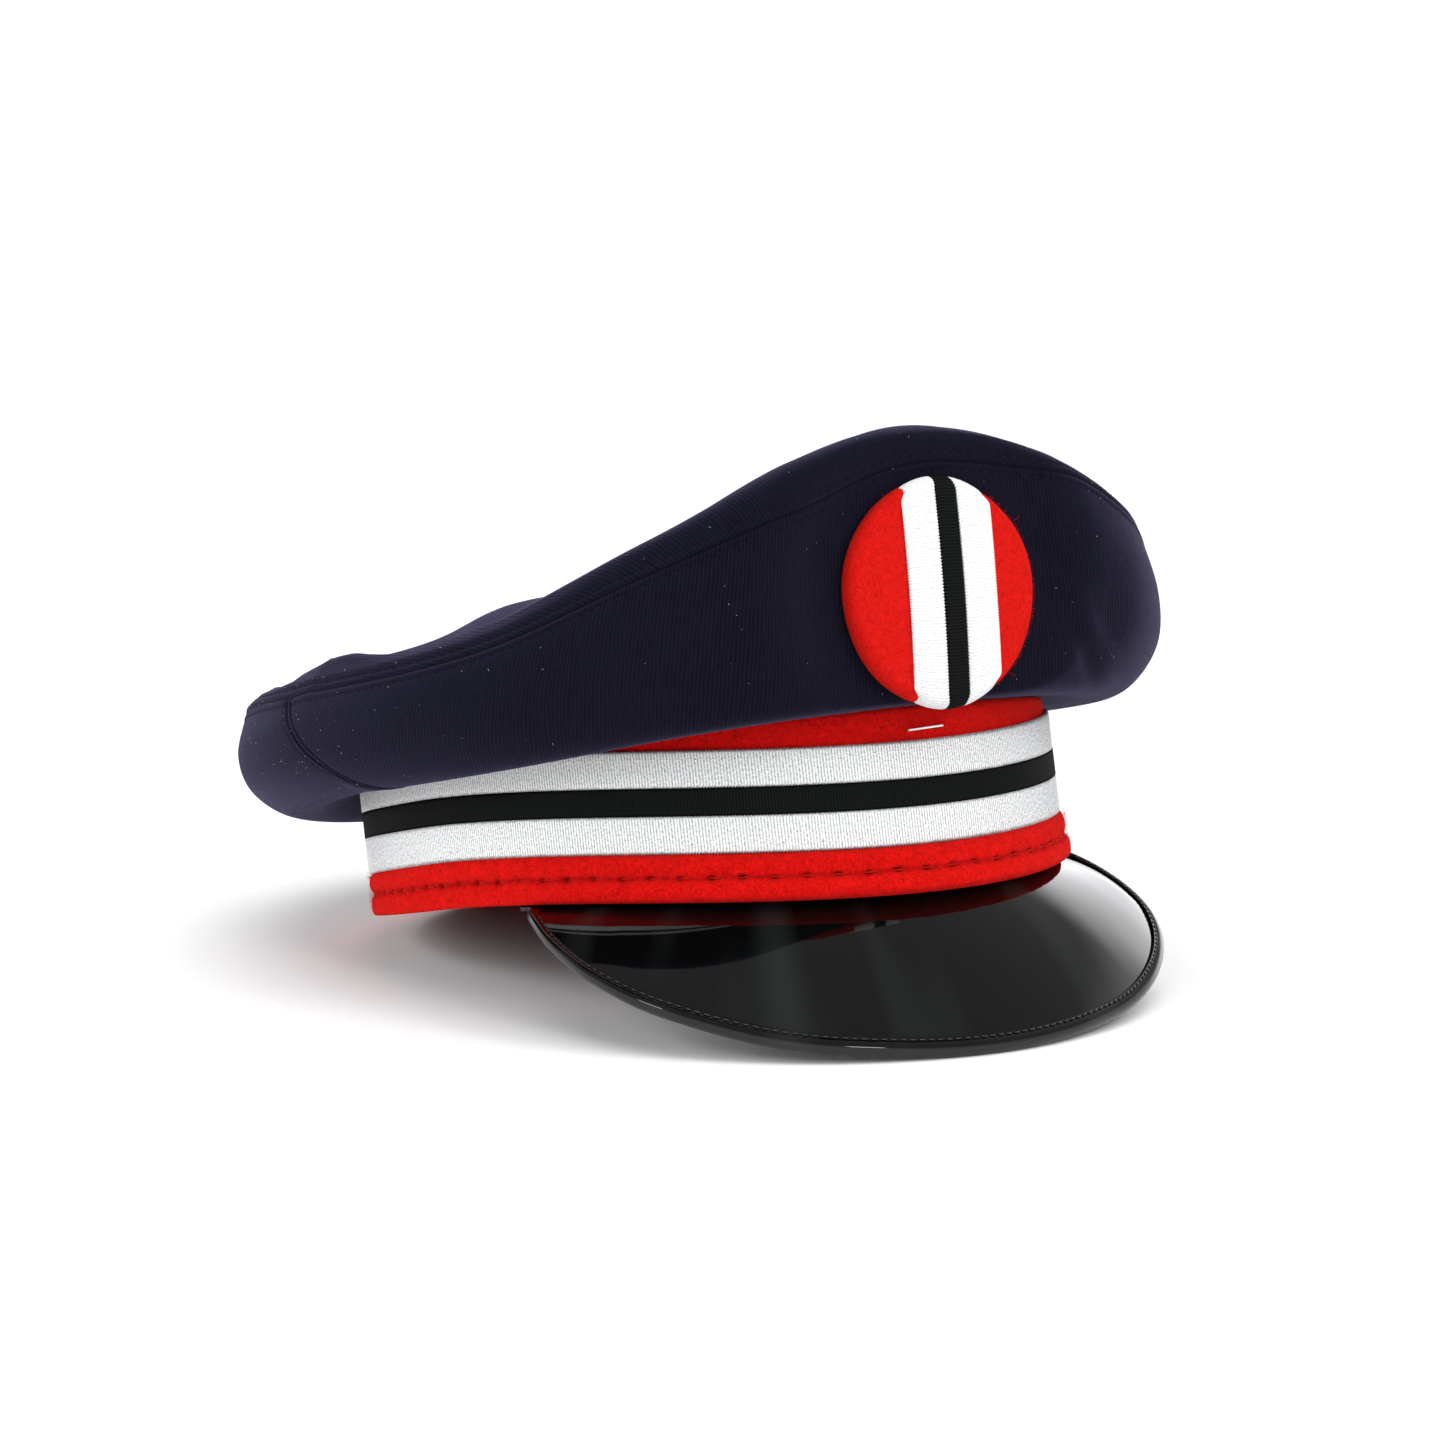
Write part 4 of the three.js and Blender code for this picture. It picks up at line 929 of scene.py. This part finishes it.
def visor_normal(turn, level):
    """Which way is out of the visor's upper side."""
    ahead = visor_point(turn + 0.5, level) - visor_point(turn - 0.5, level)
    down = visor_point(turn, np.minimum(1, level + 0.01)) - visor_point(turn, level - 0.01)
    normal = np.cross(down, ahead)
    return normal / np.linalg.norm(normal, axis=-1, keepdims=True)


patent = Finish("patent", (0.004, 0.0042, 0.0042), 0.045, 0.44)
down_it = patent.node("Mapping", {0: patent.node("UVMap")[0], "Scale": (0.085, 0.006, 1)})[0]
# Painted reflection: soft streaks down the patent, lighter and darker in its base colour.
painted_reflection_streaks = patent.share(patent.noise(down_it, 1.0, Detail=1.0), 0.52, 0.72)
patent.colour(patent.mix(painted_reflection_streaks, (0.0015, 0.0017, 0.0017), (0.010, 0.0115, 0.0115)))
patent.relief(patent.noise(patent.in_the_room(), 26, Detail=1.0), 0.25, 0.0007)
PATENT = patent.material

turn = np.linspace(-VISOR_HALF_TURN, VISOR_HALF_TURN, 181)[None, :]
free = visor_depth(turn)
end = np.maximum(VISOR_STUB / free, 1 - EDGING_BITE / free)
down = np.linspace(0, 1, 37)[:, None]
level = np.concatenate([np.linspace(-1, -0.1, 6)[:, None] + 0 * turn, down * end])[::-1]
visor = laid("patent_visor", visor_point(turn, level), turn, level * 40, PATENT, "patent", wall=VISOR_THICK)
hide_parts("visor")

# The visor's edging: a strip of the same patent folded over its free edge into a round bead, and sewn
# through along the bead's inner side with black thread.
EDGING_STITCH, EDGING_PITCH, EDGING_SEAM_INSIDE, EDGING_SEAM_UP = (2.1, 0.6, 0.6), 2.5, 4.05, 1.62
turn = np.linspace(-EDGING_HALF_TURN, EDGING_HALF_TURN, 241)[None, :]
free = visor_depth(turn)
EDGING_INSIDE = np.array([2.1, 4.8, 4.85, 4.7, 4.4, 4.05, 3.7, 3.3, 2.7, 2.0, 1.3, 0.7, 0.25, 0.03, 0])
EDGING_UP = np.array([1.15, 1.15, 1.3, 1.5, 1.52, 1.38, 1.5, 1.85, 2.1, 2.2, 2.1, 1.7, 1.1, 0.4, 0])
inside = np.concatenate([EDGING_INSIDE, EDGING_INSIDE[-2::-1], EDGING_INSIDE[:1]])[:, None]
up = np.concatenate([EDGING_UP, -EDGING_UP[-2::-1], EDGING_UP[:1]])[:, None]
level = np.maximum(0.01, 1 - inside / free)
edging_points = visor_point(turn, level) + (up - VISOR_THICK / 2)[..., None] * visor_normal(turn, level)
edging = laid("visor_edging", edging_points, turn, up, PATENT, "patent")
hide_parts("visor_binding")

turn = np.linspace(-EDGING_HALF_TURN + 2, EDGING_HALF_TURN - 2, 161)
free = visor_depth(turn)
level = np.maximum(0.01, 1 - EDGING_SEAM_INSIDE / free)
out = visor_normal(turn, level)
path = visor_point(turn, level) + (EDGING_SEAM_UP - VISOR_THICK / 2) * out
BLACK_THREAD = thread("black_thread", (0.02, 0.02, 0.02), roughness=0.22, shine=0.7)
row = stitched_along(path, out, EDGING_PITCH)
sewn("edging_stitches", row, EDGING_STITCH, BLACK_THREAD)

# The badge: a padded disc covered in red felt, with a narrower copy of the ribbon wrapped over its face.
BADGE_THICK, BADGE_DOME, BADGE_EDGE, BADGE_RIBBON_THICK = 5.2, 0.9, 2.6, 0.75
BADGE_FLAT = BADGE_RADIUS - BADGE_EDGE
BADGE_WHITE_WIDTH, BADGE_BLACK_WIDTH, BADGE_OFFSET, BADGE_WRAP, TURNED_UNDER = 10.2, 6.5, 1.8, 1.3, 3
BADGE_RIBS, SPOTS_ON_RIB, BADGE_RIB_SCALLOP, BADGE_STRIPE_GAP, BADGE_RIBBON_LIFT = 76, 4, 0.2, 0.06, 0.12
BADGE_FIBRES, STRAYS_BELOW, STRAYS_ABOVE, STRAY_LINKS, LINK_STEP, STRAY_THICK = 1500, 22, 12, 4, 0.85, 0.09
BADGE_FELT = felt("badge_felt", (0.42, 0.004, 0.003), (0.6, 0.008, 0.006), (0.76, 0.011, 0.008))


def on_badge(across, along, out):
    """Points across the badge, up along it and out of its back."""
    across, along, out = np.broadcast_arrays(across, along, out)
    return (
        BADGE_BACK + across[..., None] * np.array([1, 0, 0])
        + along[..., None] * BADGE_UP + out[..., None] * BADGE_FACING
    )


def badge_face(distance, lift):
    """How far out the badge's face lies at a distance from its middle, or a layer that is lifted off it."""
    dome = BADGE_THICK + lift + BADGE_DOME * (1 - (distance / BADGE_FLAT) ** 2)
    past = np.clip(distance - BADGE_FLAT, 0, BADGE_EDGE + lift)
    rounded = BADGE_THICK - BADGE_EDGE + np.sqrt((BADGE_EDGE + lift) ** 2 - past**2)
    return np.where(distance <= BADGE_FLAT, dome, rounded)


bend = np.radians(np.linspace(0, 90, 9))
rounding, face = BADGE_FLAT + BADGE_EDGE * np.cos(bend), np.linspace(BADGE_FLAT * 0.95, 0, 16)
distance = np.concatenate([[0, BADGE_RADIUS - 1, BADGE_RADIUS], rounding, face])
height = np.concatenate([[0, 0, 1], badge_face(distance[3:], 0)])
bm = bmesh.new()
corners = [bm.verts.new((radius, 0, out)) for radius, out in zip(distance, height)]
for corner, following in zip(corners, corners[1:]):
    bm.edges.new((corner, following))
bmesh.ops.spin(
    bm, geom=bm.verts[:] + bm.edges[:], **UPRIGHT, angle=2 * math.pi, steps=144, use_merge=True
)


def disc_form(x, y, z):
    """The felt's rim isn't quite round."""
    return on_badge(x * (1 + 0.006 * np.sin(5 * np.arctan2(y, x))), y, z), x, y, 0


disc = finished("badge", bm, disc_form, BADGE_FELT)
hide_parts("badge_disc")

# Painted shade: a dimmer copy of the white grosgrain with lower rib contrast, toned down because the badge
# faces the lamps more squarely than the band does.
BADGE_WHITE_SHADED_COPY = grosgrain("badge_white_grosgrain_shaded_copy", (0.56, 0.57, 0.57), (0.83, 0.84, 0.84), 1.3)
spots_along = BADGE_RIBS * SPOTS_ON_RIB + 1
spots = np.linspace(-1, 1, spots_along)[None, :]
tooth = np.cos(np.linspace(0, BADGE_RIBS * 2 * np.pi, spots_along))[None, :]
rise, depth = RIBBON_RISE[:, None], RIBBON_DEPTH[:, None]
ribbon_length = np.linspace(0, BADGE_RIBS * RIB_PITCH, spots_along)
ribbon_length = np.concatenate([[-TURNED_UNDER], ribbon_length, [ribbon_length[-1] + TURNED_UNDER]])
whole_section = [*range(len(RIBBON_RISE)), 0]
stripe_side = BADGE_OFFSET - BADGE_BLACK_WIDTH / 2 - BADGE_WHITE_WIDTH
for node_name, piece_name, width, material, slot in (
    ("badge_white_right", "badge_white_stripe_right", BADGE_WHITE_WIDTH, BADGE_WHITE_SHADED_COPY, "white_grosgrain"),
    ("badge_black", "badge_black_stripe", BADGE_BLACK_WIDTH, BLACK_GROSGRAIN, "black_grosgrain"),
    ("badge_white_left", "badge_white_stripe_left", BADGE_WHITE_WIDTH, BADGE_WHITE_SHADED_COPY, "white_grosgrain"),
):
    edge = tooth * BADGE_RIB_SCALLOP * (step(0.9, 0.99, rise) - step(0.1, 0.01, rise)) * (depth > 0.01)
    across = stripe_side + BADGE_STRIPE_GAP + rise * (width - 2 * BADGE_STRIPE_GAP) + edge
    lift = BADGE_RIBBON_LIFT + depth * (BADGE_RIBBON_THICK + tooth * 0.02)
    straight = np.sqrt(BADGE_FLAT**2 - across**2)
    far = np.sqrt((BADGE_RADIUS + lift) ** 2 - across**2)
    bend = (far - straight) * math.pi / 2
    past = np.clip(np.abs(spots) * (straight + bend) - straight, 0, bend)
    face = np.minimum(np.abs(spots) * (straight + bend), straight)
    along = np.sign(spots) * (face + (far - straight) * np.sin(past / bend * math.pi / 2))
    from_middle = np.hypot(across, along)
    pinch = 1 - 0.12 * step(BADGE_FLAT, BADGE_RADIUS, from_middle)
    pinched = BADGE_OFFSET + (across - BADGE_OFFSET) * pinch
    badge_points = on_badge(pinched, along, badge_face(from_middle, lift))
    drawn_in = BADGE_OFFSET + (across - BADGE_OFFSET) * 0.8
    first, last = (on_badge(drawn_in[:, end], along[:, end] * 0.96, BADGE_WRAP)[:, None] for end in (0, -1))
    badge_points = np.concatenate([first, badge_points, last], axis=1)[whole_section]
    stripe = laid(piece_name, badge_points, ribbon_length, (rise * width)[whole_section], material, slot)
    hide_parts(node_name)
    stripe_side += width

angle = chance.uniform(0, 2 * np.pi, BADGE_FIBRES)
distance = BADGE_RADIUS - BADGE_EDGE * chance.uniform(0, 1, BADGE_FIBRES) ** 2
roots = on_badge(distance * np.cos(angle), distance * np.sin(angle), badge_face(distance, 0) - 0.2)
out = on_badge(np.cos(angle), np.sin(angle), 0.7) - on_badge(0, 0, 0)
away = np.abs(distance * np.cos(angle) - BADGE_OFFSET) > BADGE_BLACK_WIDTH / 2 + BADGE_WHITE_WIDTH + 0.5
ways, lengths = tousled(out[away], 0.5), chance.uniform(0.5, 1.3, BADGE_FIBRES)[away]
fibres("badge_fuzz", roots[away], ways, lengths, FUZZ_THICK, BADGE_FELT)

angle = np.concatenate([chance.uniform(-2.6, -1.8, STRAYS_BELOW), chance.uniform(-1.2, 0.9, STRAYS_ABOVE)])
distance = BADGE_RADIUS * chance.uniform(0.72, 1.0, len(angle))
root = on_badge(distance * np.cos(angle), distance * np.sin(angle), badge_face(distance, 0) + 0.1)
way = tousled(on_badge(np.cos(angle), np.sin(angle), 0.5) - on_badge(0, 0, 0), 0.8)
roots, ways = [], []
for link in range(STRAY_LINKS):
    way = way / np.linalg.norm(way, axis=1, keepdims=True)
    roots.append(root)
    ways.append(way)
    root = root + way * LINK_STEP
    way = way + chance.normal(0, 0.55, way.shape)
roots, ways = np.concatenate(roots), np.concatenate(ways)
lengths = np.full(len(roots), LINK_STEP + 0.1)
fibres("badge_stray_wool", roots, ways, lengths, STRAY_THICK, BADGE_FELT)

# The staple: a thin bright wire pressed through the felt under the badge, with its two ends bent in.
STAPLE_LENGTH, STAPLE_WIRE, STAPLE_LEG = 10.6, 0.5, 1.4
STAPLE_TURN, STAPLE_OUT, STAPLE_ABOVE_RIBBON, STAPLE_TILT = 1.5, 0.75, 3.0, math.radians(2.2)
LEG_FROM = STAPLE_LENGTH / 2 - STAPLE_WIRE
wire = Finish("bright_wire", (0.95, 0.95, 0.96), 0.35)
wire.set(Metallic=0.3)
wire.relief(wire.noise(wire.in_the_room(), 900, Detail=2.0), 0.2, 0.0001)
bm = bmesh.new()
bmesh.ops.create_cube(bm, size=1, matrix=Matrix.Diagonal((STAPLE_LENGTH, STAPLE_WIRE, STAPLE_WIRE, 1)))
for side in (-1, 1):
    bmesh.ops.bisect_plane(
        bm, geom=bm.verts[:] + bm.edges[:] + bm.faces[:],
        plane_co=(side * LEG_FROM, 0, 0), plane_no=(1, 0, 0),
    )
    foot = [f for f in bm.faces if f.normal.y > 0.9 and f.calc_center_median().x * side > LEG_FROM]
    leg = bmesh.ops.extrude_discrete_faces(bm, faces=foot)["faces"]
    bmesh.ops.translate(bm, verts=leg[0].verts, vec=(0, STAPLE_LEG, 0))
sharp = [e for e in bm.edges if e.calc_face_angle(0) > 1]
bmesh.ops.bevel(bm, geom=sharp, offset=0.12, segments=2, profile=0.5, affect="EDGES", material=-1)
height = roll_top(STAPLE_TURN) + RIBBON_WIDTH + STAPLE_ABOVE_RIBBON
middle = by_the_band(STAPLE_TURN, STAPLE_OUT, height)


def staple_form(x, y, z):
    return middle + np.stack([x, y, z + x * math.tan(STAPLE_TILT)], -1), x, z, 0


staple = finished("staple_wire", bm, staple_form, wire.material)
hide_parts("staple")
